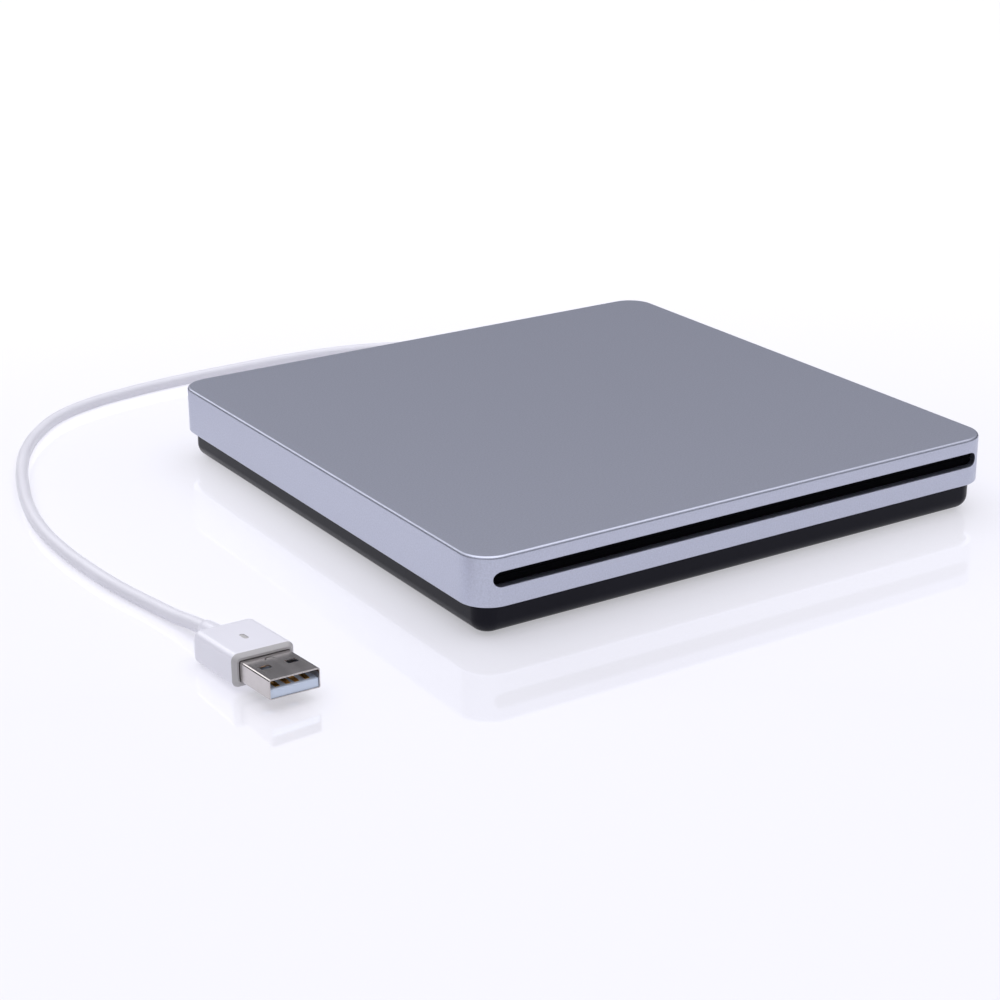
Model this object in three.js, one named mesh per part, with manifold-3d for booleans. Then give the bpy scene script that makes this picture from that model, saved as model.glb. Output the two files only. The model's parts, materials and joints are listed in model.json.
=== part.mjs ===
// External slot-loading optical drive with a captive USB-A cord.
// Millimetres, +Z up, slot in the -Y face, origin on the floor under the centre of the case.

import * as THREE from 'three';
import { mergeVertices } from 'three/addons/utils/BufferGeometryUtils.js';
import Module from 'manifold-3d';

const wasm = await Module();
wasm.setup();

// ---------------------------------------------------------------- driving dimensions

// Used all over: how far joined shapes reach into each other, how far a cutting tool reaches past
// a face, and the gap between neighbouring solids.
const EMBED = 0.4;
const PAST = 1;
const GAP = 0.3;

// Aluminium cover.
const CASE_HALF = 75;
const CASE_TOP = 20;
const CASE_CORNER = 7.5;
const COVER_BOTTOM = 8;
const COVER_WALL = 2;
const COVER_INNER_CORNER = 3.5;
const COVER_CEILING = 18.2;
const COVER_EDGE = 0.5;
const SLOT_Z = 14.5;
const SLOT_HEIGHT = 3.5;
const SLOT_HALF = 70.5;

// The front wall below the slot, between the slot's round ends.
const SILL_HALF = SLOT_HALF - SLOT_HEIGHT / 2 - GAP;
const SILL_TOP = SLOT_Z - SLOT_HEIGHT / 2;

// Dust felts that part around the disc behind the slot.
const FELT_HALF = 70.4;
const FELT_THICKNESS = 1;
const FELT_LOW = 11;
const FELT_HIGH = 17.6;
const FELT_PARTING = 0.1;

// Black base tray, tapering down to the floor.
const TRAY_BOTTOM = 0.5;
const TRAY_LIP = 10;
const TRAY_FLOOR = 2.1;
const TRAY_HALF = 72.8;
const TRAY_CORNER = 4.5;
const TRAY_EDGE = 3.4;
const TRAY_INNER_TOP = 70.4;
const TRAY_INNER_LOW = 69.2;
const TRAY_INNER_CORNER = 3.2;
const FOOT_AT = 54;
const FOOT_RADIUS = 6;
const FOOT_HEIGHT = 1;
const FOOT_CHAMFER = 0.3;
const DRIVE_PAD = { x: 50, y: 45, halfX: 5, halfY: 4 };

// Screws that hold the tray's posts to the cover's bosses.
const POST_X = 67;
const POST_Y = 66;
const POST_RADIUS = 2.7;
const POST_TOP = 11.7;
const BOSS_RADIUS = 2.5;
const BOSS_BOTTOM = 12;
const THREAD_RADIUS = 1.05;
const THREAD_TOP = 17;
const SCREW_HEAD_RADIUS = 1.8;
const SCREW_HEAD_BOTTOM = 5.5;
const SCREW_HEAD_TOP = 7.2;
const SCREW_SHANK_RADIUS = 0.8;
const SCREW_TIP = 16.5;

// Drive unit inside the case.
const DRIVE_HALF = 64;
const DRIVE_FRONT = -68.6;
const DRIVE_REAR = 57;
const DRIVE_CORNER = 2;
const DRIVE_BOTTOM = 4.3;
const PAN_FLOOR = 5.1;
const PAN_WALL = 0.8;
const PAN_TOP = 16;
const PAN_MOUTH_HALF = 61;
const PAN_MOUTH_BOTTOM = 12.5;
const LID_BOTTOM = 16.3;
const LID_TOP = 17;
const LID_HOLE_RADIUS = 9;
const LID_RING = { inner: 21, outer: 24, height: 0.5 };
const LID_SCREW_X = 61.8;
const LID_SCREW_FRONT = -63;
const LID_SCREW_REAR = 51;
const LID_POST_RADIUS = 1.5;

// Disc position: the spindle axis stands at DISC_CENTRE and the disc lies between these heights.
const DISC_CENTRE = [0, -6];
const DISC_UNDERSIDE = 13.9;

// Traverse unit, laid out in its own frame: x across the deck, y from the spindle to the hinge.
const TRAVERSE_TURN = -Math.PI / 4;
const DECK_HALF = 17;
const DECK_FRONT = -17;
const DECK_REAR = 70;
const DECK_CORNER = 3;
const DECK_Z = 9.4;
const DECK_THICKNESS = 0.8;
const DECK_RIB = { y0: 14, y1: 57, top: 11.4 };
const SLED_WINDOW = { half: 11, y0: 14.5, y1: 66, corner: 1.5 };
const MOTOR_HOLE_RADIUS = 12;
const HINGE_Y = 67;
const HINGE_Z = 9.8;
const HINGE_PIN_RADIUS = 1;
const HINGE_PIN_REACH = 2.2;
const HINGE_BLOCK = { gap: 0.6, reach: 3.2, halfLength: 1.8, top: 11.5 };
const ROD_X = 8.6;
const ROD_Z = 9.6;
const ROD_RADIUS = 1;
const ROD_FRONT = 14.8;
const ROD_REAR = 65.7;
const SLED_Y = 24;
const SLED_BODY = { halfX: 10.6, halfY: 6, corner: 1.5, bottom: 7.4, top: 11.3 };
const SLED_FINGER = { x: -15.4, y0: -5.5, y1: -1.5, bottom: 10.6, top: 13.6 };
const LENS_WELL = { halfX: 6.2, halfY: 4.6, bottom: 9.6 };
const LENS_HOLDER = { halfX: 5.6, halfY: 4, corner: 1, bottom: 10.2, top: 12.6 };
const LENS_SEAT_RADIUS = 2.6;
const LENS_BOTTOM = 12.2;
const SCREW_X = -13.7;
const SCREW_Z = 12.2;
const SCREW_START = 10.8;
const SCREW_END = 59.1;
const SCREW_CORE = 0.62;
const SCREW_CREST = 0.85;
const SCREW_PITCH = 3;
const SCREW_BEARING = { x0: -15.8, x1: -11.6, y0: 10.4, y1: 12.4, top: 13.6 };
const MOTOR_PLATE = { x0: -16.6, x1: -10.9, y0: 58.6, y1: 59.4, top: 13.8 };
const STEPPER = { halfX: 2.9, halfZ: 1.7, corner: 1.4, y0: 59.7, y1: 68.7 };

// Cam slots in the slider lower the deck's two lift pins.
const LIFT_PIN_X = 8;
const LIFT_PIN_Z = 11;
const LIFT_PIN_RADIUS = 0.75;
const LIFT_DROP = 3.365;
const CAM_TRAVEL = 12;
const CAM_SLOT_HALF = 1;
const CAM_WALL = { x0: -26, x1: 14, y0: -20.6, y1: -19.2, bottom: 5.4, top: 12.9 };

// Spindle motor, pad and centring hub.
const STATOR = { radius: 13.5, bottom: 8.6, plate: 9.15, shaft: 1.5, shaftTop: 12 };
const ROTOR = { radius: 10.8, bottom: 9.4, top: 12.8, edge: 0.4, bore: 1.8, boreTop: 12.3 };
const PAD_BOTTOM = 13.05;
const PAD_RADIUS = 13.5;
const PAD_HOLE_RADIUS = 7.5;
const HUB_RADIUS = 7.1;
const HUB_TOP = 15.5;
const HUB_TAPER = 0.6;
const BALL_RADIUS = 0.9;
const BALL_AT = 6.5;
const BALL_Z = 15.1;

// Loader gear train, in the traverse frame.
const RACK_MODULE = 0.8;
const PINION_TEETH = 10;
const WHEEL_MODULE = 0.6;
const WHEEL_TEETH = 32;
const GEAR_X = -6;
const RACK_PITCH_Y = -28.8;
const GEAR_Y = RACK_PITCH_Y - (RACK_MODULE * PINION_TEETH) / 2;
const MOTOR_Y = GEAR_Y - (WHEEL_MODULE * (WHEEL_TEETH + PINION_TEETH)) / 2;
const RACK_BOTTOM = 5.6;
const RACK_TOP = 7.2;
const WHEEL_BOTTOM = 11.2;
const WHEEL_TOP = 12.4;
const GEAR_PIN_RADIUS = 1;
const GEAR_PIN_TOP = 12.9;
const GEAR_SLEEVE_RADIUS = 2.4;
const MOTOR_CAN = { radius: 6, bottom: 5.4, top: 10.9, edge: 0.3 };
const MOTOR_SHAFT_RADIUS = 0.6;

// Disc arms: pivot and roller positions on the drive floor.
const ARM_Z = 12.4;
const ARM_THICKNESS = 0.8;
const ARM_HALF_WIDTH = 2;
const ARM_COLLAR_RADIUS = 3;
const PIVOT_RADIUS = 1;
const PIVOT_TOP = 13.6;
const ROLLER_RADIUS = 2.5;
const ROLLER_BOTTOM = 13.5;
const ROLLER_TOP = 15.6;
const ROLLER_GROOVE = 0.6;
const ROLLER_PIN_RADIUS = 0.9;
const BORE_CLEARANCE = 0.25;
const LEFT_ARM = { pivot: [-57, -52], tip: [-60, -24] };
const RIGHT_ARM = { pivot: [57, -52], tip: [60, -24] };
const EJECT_ARM = { pivot: [-45, 45], tip: [-20, 53] };

// Side slider along the left wall of the drive.
const SIDE_STRIP = { x0: -62.6, x1: -60.2, y0: -44, y1: 34, bottom: 5.4, top: 7.4 };
const SIDE_SLOT = { half: 0.5, length: 14, starts: [-30, -5, 20] };
const SIDE_PEGS = [-40, 30];

// Boards.
const DRIVE_BOARD = { x0: -58, x1: -8, y0: 20, y1: 54, bottom: 6.2, top: 7.2 };
const BRIDGE_BOARD = { x0: 6, x1: 60, y0: 58, y1: 68.5, bottom: 5.4, top: 6.4 };
const BOARD_CORNER = 1;
const STANDOFF = { xs: [12, 54], y: 63.5, radius: 1.8 };

// Cord and its strain relief.
const CORD_RADIUS = 1.65;
const CORD_SIDES = 8;
const CORD_STEPS = 80;
const EXIT_X = 40;
const EXIT_Z = 4.9;
const OUTLET_RADIUS = 2.5;
const RELIEF_START = 68.9;
const RELIEF_NECK = 2.2;
const RELIEF_FLANGE = { radius: 3, y0: 73.1, y1: 73.85 };
const RELIEF_RIBS = { radius: 2.6, first: 74.85, last: 80.35, spacing: 1.4, taper: 0.07, depth: 0.25 };
const RELIEF_END = 80.85;

// Plug, drawn with its mouth at the origin and its length along +Y.
const PLUG_AT = [-121.7, -79.4, 5.3];
const PLUG_ROLL = THREE.MathUtils.degToRad(1.5);
const PLUG_PITCH = THREE.MathUtils.degToRad(-2.7);
const PLUG_YAW = THREE.MathUtils.degToRad(2);
const SHELL_WIDTH = 12;
const SHELL_HEIGHT = 4.5;
const SHELL_WALL = 0.3;
const SHELL_CORNER = 0.5;
const SHELL_LENGTH = 14.2;
const WINDOW = { x: 3.1, half: 1.25, y0: 5.8, y1: 7.7 };
const SPRING_CUT = { y: 10.2, outer: 1.2, inner: 0.9 };
const TONGUE = { half: 5.6, y0: 0.6, y1: 13.8, bottom: -1.9 };
const CONTACT = { xs: [-3.5, -1, 1, 3.5], half: 0.55, y0: 1.1, y1: 10, bottom: 0.1, top: 0.3 };
const GRIP_FRONT = 12.6;
const GRIP_HALF_WIDTH = 7.4;
const GRIP_HALF_HEIGHT = 3.75;
const GRIP_BACK = 39.5;
const GROOVE = { half: 0.6, y0: 20, y1: 23, depth: 0.12 };

// The grip's outline: distance from the mouth, half width, half height, corner radius.
const GRIP_SECTIONS = [
  [GRIP_FRONT, 6.6, 2.95, 1.1],
  [GRIP_FRONT + 1, GRIP_HALF_WIDTH, GRIP_HALF_HEIGHT, 1.6],
  [29.9, GRIP_HALF_WIDTH, GRIP_HALF_HEIGHT, 1.7],
  [30.8, 7.15, 3.5, 1.7],
  [31.4, 6.6, 3.1, 1.8],
  [31.7, 5.6, 2.8, 2.2],
  [32, 3.6, 2.65, 2.4],
  [32.6, 2.6, 2.5, 2.4],
  [34, 2.4, 2.4, 2.35],
  [37, 2.2, 2.2, 2.15],
  [GRIP_BACK, 1.95, 1.95, 1.9],
];

// Centreline of the cord on the floor, from the rear exit round the left side to the plug.
const CORD_ROUTE = [
  [40, 81.2, 4.9],
  [40.3, 87, 4.2],
  [40, 94, 2.6],
  [38.3, 101.5, 1.7],
  [34, 110, 1.7],
  [26.5, 117.8, 1.7],
  [16, 124.2, 1.7],
  [2, 128.6, 1.7],
  [-15, 130.4, 1.7],
  [-33, 130.4, 1.7],
  [-50, 129.6, 1.7],
  [-66, 127.6, 1.7],
  [-80, 124.2, 1.7],
  [-92.4, 118, 1.7],
  [-102, 108.8, 1.7],
  [-110, 97.6, 1.7],
  [-116.6, 84.4, 1.7],
  [-122.2, 69.2, 1.7],
  [-126.6, 53.6, 1.7],
  [-129.1, 39.6, 1.7],
  [-130, 25, 1.7],
  [-129.6, 10, 1.7],
  [-128.2, -5, 1.7],
  [-126, -18, 1.7],
  [-124.5, -28, 2.1],
  [-123.7, -34.5, 2.85],
  [-123.1, -39.7, 3.42],
];

// ---------------------------------------------------------------- materials

function material(color, roughness, metalness) {
  return new THREE.MeshStandardMaterial({ color, roughness, metalness });
}

const ALUMINIUM = material(0xa9adbd, 0.42, 0.9);
const BLACK_PLASTIC = material(0x24252d, 0.5, 0);
const RUBBER = material(0x1a1a1c, 0.85, 0);
const FELT = material(0x101014, 0.95, 0);
const STEEL = material(0x9a9ca0, 0.38, 0.9);
const ZINC = material(0xb9bcbf, 0.45, 0.85);
const GREY_PLASTIC = material(0x3c3e44, 0.55, 0);
const NATURAL_PLASTIC = material(0xd9d6cc, 0.5, 0);
const WHITE_PLASTIC = material(0xf1f0f6, 0.35, 0);
const BOARD_GREEN = material(0x1d5a3a, 0.5, 0);
const CHIP_BLACK = material(0x17181a, 0.45, 0);
const GLASS = material(0x6f7fb0, 0.08, 0);
const GOLD = material(0xc8923a, 0.3, 0.9);

// ---------------------------------------------------------------- solid helpers

// A closed geometry as a solid for boolean work, with collapsed triangles dropped.
function solid(geometry) {
  const bare = new THREE.BufferGeometry();
  bare.setAttribute('position', geometry.getAttribute('position').clone());
  if (geometry.index) {
    bare.setIndex(geometry.index.clone());
  }
  const welded = mergeVertices(bare, 1e-4);
  const index = welded.index.array;
  const kept = [];
  for (let i = 0; i < index.length; i += 3) {
    const [a, b, c] = [index[i], index[i + 1], index[i + 2]];
    if (a !== b && b !== c && c !== a) {
      kept.push(a, b, c);
    }
  }
  return new wasm.Manifold(new wasm.Mesh({
    numProp: 3,
    vertProperties: new Float32Array(welded.getAttribute('position').array),
    triVerts: new Uint32Array(kept),
  }));
}

function geometryOf(body) {
  const mesh = body.getMesh();
  const geometry = new THREE.BufferGeometry();
  geometry.setAttribute('position', new THREE.BufferAttribute(new Float32Array(mesh.vertProperties), 3));
  geometry.setIndex(new THREE.BufferAttribute(new Uint32Array(mesh.triVerts), 1));
  return geometry;
}

function join(...geometries) {
  return geometryOf(geometries.map(solid).reduce((sum, next) => sum.add(next)));
}

function cut(geometry, ...tools) {
  return geometryOf(tools.map(solid).reduce((rest, tool) => rest.subtract(tool), solid(geometry)));
}

function box(x0, x1, y0, y1, z0, z1) {
  const geometry = new THREE.BoxGeometry(x1 - x0, y1 - y0, z1 - z0);
  return geometry.translate((x0 + x1) / 2, (y0 + y1) / 2, (z0 + z1) / 2);
}

function roundedRect(x0, x1, y0, y1, radius) {
  const shape = new THREE.Shape();
  shape.moveTo(x0 + radius, y0);
  shape.lineTo(x1 - radius, y0);
  shape.absarc(x1 - radius, y0 + radius, radius, -Math.PI / 2, 0);
  shape.lineTo(x1, y1 - radius);
  shape.absarc(x1 - radius, y1 - radius, radius, 0, Math.PI / 2);
  shape.lineTo(x0 + radius, y1);
  shape.absarc(x0 + radius, y1 - radius, radius, Math.PI / 2, Math.PI);
  shape.lineTo(x0, y0 + radius);
  shape.absarc(x0 + radius, y0 + radius, radius, Math.PI, Math.PI * 1.5);
  return shape;
}

function circlePath(x, y, radius) {
  const path = new THREE.Path();
  path.absarc(x, y, radius, 0, Math.PI * 2);
  return path;
}

function slab(shape, z0, z1, curveSegments = 6) {
  const geometry = new THREE.ExtrudeGeometry(shape, { depth: z1 - z0, bevelEnabled: false, curveSegments });
  return geometry.translate(0, 0, z0);
}

// Upright round bar centred on (x, y).
function bar(x, y, radius, z0, z1, segments = 24) {
  const geometry = new THREE.CylinderGeometry(radius, radius, z1 - z0, segments);
  return geometry.rotateX(Math.PI / 2).translate(x, y, (z0 + z1) / 2);
}

// Round bar along X or Y, centred on the two given cross coordinates.
function barAlongX(x0, x1, y, z, radius, segments = 16) {
  const geometry = new THREE.CylinderGeometry(radius, radius, x1 - x0, segments);
  return geometry.rotateZ(Math.PI / 2).translate((x0 + x1) / 2, y, z);
}

function barAlongY(x, y0, y1, z, radius, segments = 16) {
  const geometry = new THREE.CylinderGeometry(radius, radius, y1 - y0, segments);
  return geometry.translate(x, (y0 + y1) / 2, z);
}

// Turned solid about Z from [radius, height] pairs that run upward and close on the axis.
function turned(profile, segments = 32) {
  const points = profile.map(([radius, height]) => new THREE.Vector2(radius, height));
  return new THREE.LatheGeometry(points, segments).rotateX(Math.PI / 2);
}

// Rounded rectangle of points in a plane of constant z, counter-clockwise from above.
function ring(halfX, halfY, radius, z, cornerSteps = 6) {
  const points = [];
  for (let quadrant = 0; quadrant < 4; quadrant += 1) {
    const centreX = (halfX - radius) * (quadrant === 0 || quadrant === 3 ? 1 : -1);
    const centreY = (halfY - radius) * (quadrant < 2 ? 1 : -1);
    for (let step = 0; step <= cornerSteps; step += 1) {
      const angle = ((quadrant + step / cornerSteps) * Math.PI) / 2;
      points.push([centreX + radius * Math.cos(angle), centreY + radius * Math.sin(angle), z]);
    }
  }
  return points;
}

// Closed skin over a stack of rings with equal point counts, lowest ring first.
function loft(rings) {
  const count = rings[0].length;
  const positions = rings.flat(2);
  const index = [];
  for (let level = 0; level < rings.length - 1; level += 1) {
    for (let i = 0; i < count; i += 1) {
      const next = (i + 1) % count;
      const [a, b] = [level * count + i, level * count + next];
      const [c, d] = [a + count, b + count];
      index.push(a, b, d, a, d, c);
    }
  }
  for (const level of [0, rings.length - 1]) {
    const centre = positions.length / 3;
    positions.push(0, 0, rings[level][0][2]);
    for (let i = 0; i < count; i += 1) {
      const [a, b] = [level * count + i, level * count + ((i + 1) % count)];
      index.push(centre, ...(level === 0 ? [b, a] : [a, b]));
    }
  }
  const geometry = new THREE.BufferGeometry();
  geometry.setAttribute('position', new THREE.Float32BufferAttribute(positions, 3));
  geometry.setIndex(index);
  return geometry;
}

// Spur gear outline with flat-sided teeth, one tooth centred on +X, narrowed for running clearance.
function gearShape(teeth, gearModule) {
  const pitchRadius = (teeth * gearModule) / 2;
  const rootRadius = pitchRadius - 1.1 * gearModule;
  const tipRadius = pitchRadius + 0.85 * gearModule;
  const rootHalf = 0.3 * ((2 * Math.PI) / teeth);
  const tipHalf = 0.1 * ((2 * Math.PI) / teeth);
  const shape = new THREE.Shape();
  for (let tooth = 0; tooth < teeth; tooth += 1) {
    const centre = (tooth * 2 * Math.PI) / teeth;
    const corners = [
      [rootRadius, centre - rootHalf],
      [tipRadius, centre - tipHalf],
      [tipRadius, centre + tipHalf],
      [rootRadius, centre + rootHalf],
    ];
    for (const [radius, angle] of corners) {
      const [x, y] = [radius * Math.cos(angle), radius * Math.sin(angle)];
      if (tooth === 0 && angle === centre - rootHalf) {
        shape.moveTo(x, y);
      } else {
        shape.lineTo(x, y);
      }
    }
  }
  shape.closePath();
  return shape;
}

const part = new THREE.Group();
part.name = 'external_optical_drive';

function add(name, geometry, surface) {
  const faceted = geometry.index ? geometry.toNonIndexed() : geometry;
  faceted.computeVertexNormals();
  const mesh = new THREE.Mesh(faceted, surface);
  mesh.name = name;
  part.add(mesh);
}

// From the traverse unit's own frame to the case's.
function toCase(geometry) {
  return geometry.rotateZ(TRAVERSE_TURN).translate(DISC_CENTRE[0], DISC_CENTRE[1], 0);
}

function addInTraverse(name, geometry, surface) {
  add(name, toCase(geometry), surface);
}

// Corner names with their signs along X and Y.
const CORNERS = [
  ['front_left', -1, -1],
  ['front_right', 1, -1],
  ['rear_left', -1, 1],
  ['rear_right', 1, 1],
];

// The same piece on both sides of the Y axis, from its near and far X.
function onBothSides(near, far, make) {
  return [make(near, far), make(-far, -near)];
}

// ---------------------------------------------------------------- case

function slotTool() {
  const half = SLOT_HEIGHT / 2;
  const outline = roundedRect(-SLOT_HALF, SLOT_HALF, -half, half, half - 0.01);
  const tool = slab(outline, 0, COVER_WALL + 2 * PAST, 8);
  return tool.rotateX(Math.PI / 2).translate(0, -CASE_HALF + COVER_WALL + PAST, SLOT_Z);
}

// The cover's shell. The straight wall below the slot is left out for the sill.
function addTopCover() {
  const steps = 8;
  const edge = [0, 1, 2, 3, 4].map((step) => {
    const angle = (step * Math.PI) / 8;
    const inset = COVER_EDGE * (1 - Math.cos(angle));
    const z = CASE_TOP - COVER_EDGE * (1 - Math.sin(angle));
    return ring(CASE_HALF - inset, CASE_HALF - inset, CASE_CORNER - inset, z, steps);
  });
  const outside = loft([ring(CASE_HALF, CASE_HALF, CASE_CORNER, COVER_BOTTOM, steps), ...edge]);
  const inner = CASE_HALF - COVER_WALL;
  const levels = [COVER_BOTTOM - PAST, COVER_CEILING];
  const cavity = loft(levels.map((z) => ring(inner, inner, COVER_INNER_CORNER, z, steps)));
  const opening = SILL_HALF + GAP;
  const sillSpace = box(-opening, opening, -CASE_HALF - PAST, -inner + PAST, COVER_BOTTOM - PAST, SLOT_Z);
  let cover = cut(outside, cavity, slotTool(), sillSpace);
  for (const [, sx, sy] of CORNERS) {
    const boss = bar(sx * POST_X, sy * POST_Y, BOSS_RADIUS, BOSS_BOTTOM, COVER_CEILING + EMBED, 20);
    const thread = bar(sx * POST_X, sy * POST_Y, THREAD_RADIUS, BOSS_BOTTOM - PAST, THREAD_TOP, 16);
    cover = join(cover, cut(boss, thread));
  }
  add('top_cover', cover, ALUMINIUM);
  const sill = box(-SILL_HALF, SILL_HALF, -CASE_HALF, -inner, COVER_BOTTOM, SILL_TOP);
  add('slot_sill', sill, ALUMINIUM);
}

function trayShell() {
  const edge = [0, 1, 2, 3, 4].map((step) => {
    const angle = (step * Math.PI) / 8;
    const inset = TRAY_EDGE * (1 - Math.sin(angle));
    const z = TRAY_BOTTOM + TRAY_EDGE * (1 - Math.cos(angle));
    return ring(TRAY_HALF - inset, TRAY_HALF - inset, TRAY_CORNER - inset, z);
  });
  const outside = loft([...edge, ring(TRAY_HALF, TRAY_HALF, TRAY_CORNER, TRAY_LIP)]);
  const inside = loft([
    ring(TRAY_INNER_LOW, TRAY_INNER_LOW, TRAY_INNER_CORNER, TRAY_FLOOR),
    ring(TRAY_INNER_TOP, TRAY_INNER_TOP, TRAY_INNER_CORNER, COVER_BOTTOM),
    ring(TRAY_INNER_TOP, TRAY_INNER_TOP, TRAY_INNER_CORNER, TRAY_LIP + PAST),
  ]);
  const outlet = barAlongY(EXIT_X, TRAY_INNER_LOW - PAST, TRAY_HALF + PAST, EXIT_Z, OUTLET_RADIUS, 24);
  return cut(outside, inside, outlet);
}

function drivePad(sx, sy) {
  const [x, y] = [sx * DRIVE_PAD.x, sy * DRIVE_PAD.y];
  const { halfX, halfY } = DRIVE_PAD;
  return box(x - halfX, x + halfX, y - halfY, y + halfY, TRAY_FLOOR - EMBED, DRIVE_BOTTOM - GAP);
}

function addBaseTray() {
  const postBottom = TRAY_FLOOR - EMBED;
  const counterboreTop = SCREW_HEAD_TOP + GAP;
  let tray = trayShell();
  for (const [, sx, sy] of CORNERS) {
    const [x, y] = [sx * POST_X, sy * POST_Y];
    tray = join(tray, bar(x, y, POST_RADIUS, postBottom, POST_TOP), drivePad(sx, sy));
    tray = cut(
      tray,
      bar(x, y, SCREW_HEAD_RADIUS + GAP, 0, counterboreTop),
      bar(x, y, SCREW_SHANK_RADIUS + GAP, counterboreTop - EMBED, POST_TOP + PAST, 16),
      bar(sx * FOOT_AT, sy * FOOT_AT, FOOT_RADIUS + GAP, 0, FOOT_HEIGHT + GAP),
    );
  }
  for (const x of STANDOFF.xs) {
    tray = join(tray, bar(x, STANDOFF.y, STANDOFF.radius, postBottom, BRIDGE_BOARD.bottom - GAP, 16));
  }
  add('base_tray', tray, BLACK_PLASTIC);
}

function addFeet() {
  for (const [corner, sx, sy] of CORNERS) {
    const foot = turned([
      [0, 0],
      [FOOT_RADIUS - FOOT_CHAMFER, 0],
      [FOOT_RADIUS, FOOT_CHAMFER],
      [FOOT_RADIUS, FOOT_HEIGHT],
      [0, FOOT_HEIGHT],
    ]);
    add(`foot_${corner}`, foot.translate(sx * FOOT_AT, sy * FOOT_AT, 0), RUBBER);
  }
}

// Countersunk from below, with a cross recess.
function addCaseScrews() {
  const recess = { half: 1.1, halfWidth: 0.25, top: 6.3 };
  const { half, halfWidth, top } = recess;
  for (const [corner, sx, sy] of CORNERS) {
    const blank = turned([
      [0, SCREW_HEAD_BOTTOM],
      [SCREW_HEAD_RADIUS - GAP, SCREW_HEAD_BOTTOM],
      [SCREW_HEAD_RADIUS, SCREW_HEAD_BOTTOM + GAP],
      [SCREW_HEAD_RADIUS, SCREW_HEAD_TOP],
      [SCREW_SHANK_RADIUS, SCREW_HEAD_TOP],
      [SCREW_SHANK_RADIUS, SCREW_TIP - 0.5],
      [0, SCREW_TIP],
    ], 20);
    const bottom = SCREW_HEAD_BOTTOM - PAST;
    const acrossX = box(-half, half, -halfWidth, halfWidth, bottom, top);
    const acrossY = box(-halfWidth, halfWidth, -half, half, bottom, top);
    const screw = cut(blank, acrossX, acrossY);
    add(`case_screw_${corner}`, screw.translate(sx * POST_X, sy * POST_Y, 0), STEEL);
  }
}

function addSlotFelts() {
  const front = -CASE_HALF + COVER_WALL + GAP;
  const back = front + FELT_THICKNESS;
  const upper = box(-FELT_HALF, FELT_HALF, front, back, SLOT_Z + FELT_PARTING, FELT_HIGH);
  const lower = box(-FELT_HALF, FELT_HALF, front, back, FELT_LOW, SLOT_Z - FELT_PARTING);
  add('slot_felt_upper', upper, FELT);
  add('slot_felt_lower', lower, FELT);
}

// ---------------------------------------------------------------- drive chassis

function driveOutline(inset = 0) {
  return roundedRect(
    -DRIVE_HALF + inset,
    DRIVE_HALF - inset,
    DRIVE_FRONT + inset,
    DRIVE_REAR - inset,
    DRIVE_CORNER - inset,
  );
}

function hingeBlocks() {
  const { gap, reach, halfLength, top } = HINGE_BLOCK;
  const boreEnd = DECK_HALF + HINGE_PIN_REACH + EMBED;
  const bore = barAlongX(-boreEnd, boreEnd, HINGE_Y, HINGE_Z, HINGE_PIN_RADIUS + GAP);
  const [y0, y1] = [HINGE_Y - halfLength, HINGE_Y + halfLength];
  const blocks = onBothSides(DECK_HALF + gap, DECK_HALF + reach, (x0, x1) => (
    cut(box(x0, x1, y0, y1, PAN_FLOOR - EMBED, top), bore)
  ));
  return blocks.map(toCase);
}

function lidScrewPlaces() {
  return CORNERS.map(([corner, sx, sy]) => {
    const y = sy < 0 ? LID_SCREW_FRONT : LID_SCREW_REAR;
    return [corner, sx * LID_SCREW_X, y];
  });
}

function addDrivePan() {
  const bottom = PAN_FLOOR - EMBED;
  const mouth = [DRIVE_FRONT - PAST, DRIVE_FRONT + PAN_WALL + EMBED];
  let pan = cut(
    slab(driveOutline(), DRIVE_BOTTOM, PAN_TOP, 4),
    slab(driveOutline(PAN_WALL), PAN_FLOOR, PAN_TOP + PAST, 4),
    box(-PAN_MOUTH_HALF, PAN_MOUTH_HALF, ...mouth, PAN_MOUTH_BOTTOM, PAN_TOP + PAST),
  );
  for (const { pivot } of [LEFT_ARM, RIGHT_ARM, EJECT_ARM]) {
    const pin = bar(pivot[0], pivot[1], PIVOT_RADIUS, bottom, PIVOT_TOP, 16);
    const shoulder = bar(pivot[0], pivot[1], 2 * PIVOT_RADIUS, bottom, ARM_Z - GAP, 16);
    pan = join(pan, pin, shoulder);
  }
  const gearPin = bar(GEAR_X, GEAR_Y, GEAR_PIN_RADIUS, bottom, GEAR_PIN_TOP, 16);
  pan = join(pan, toCase(gearPin), ...hingeBlocks());
  for (const [, x, y] of lidScrewPlaces()) {
    pan = join(pan, bar(x, y, LID_POST_RADIUS, bottom, PAN_TOP, 16));
    pan = cut(pan, bar(x, y, LID_POST_RADIUS / 2, 11, PAN_TOP + PAST, 12));
  }
  add('drive_pan', pan, ZINC);
}

function addDriveLid() {
  const outline = driveOutline();
  outline.holes.push(circlePath(...DISC_CENTRE, LID_HOLE_RADIUS));
  const stampedRing = new THREE.Shape();
  stampedRing.absarc(...DISC_CENTRE, LID_RING.outer, 0, Math.PI * 2);
  stampedRing.holes.push(circlePath(...DISC_CENTRE, LID_RING.inner));
  const plate = join(
    slab(outline, LID_BOTTOM, LID_TOP, 12),
    slab(stampedRing, LID_TOP - EMBED, LID_TOP + LID_RING.height, 16),
  );
  const holes = lidScrewPlaces().map(([, x, y]) => bar(x, y, 0.8, LID_BOTTOM - PAST, LID_TOP + PAST, 12));
  add('drive_lid', cut(plate, ...holes), ZINC);
}

function addLidScrews() {
  const underHead = LID_TOP + 0.2;
  const profile = [[0, 12], [0.5, 12.4], [0.5, underHead], [1.3, underHead], [1.1, 17.8], [0, 17.8]];
  for (const [corner, x, y] of lidScrewPlaces()) {
    add(`lid_screw_${corner}`, turned(profile, 12).translate(x, y, 0), STEEL);
  }
}

// ---------------------------------------------------------------- traverse unit

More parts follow.
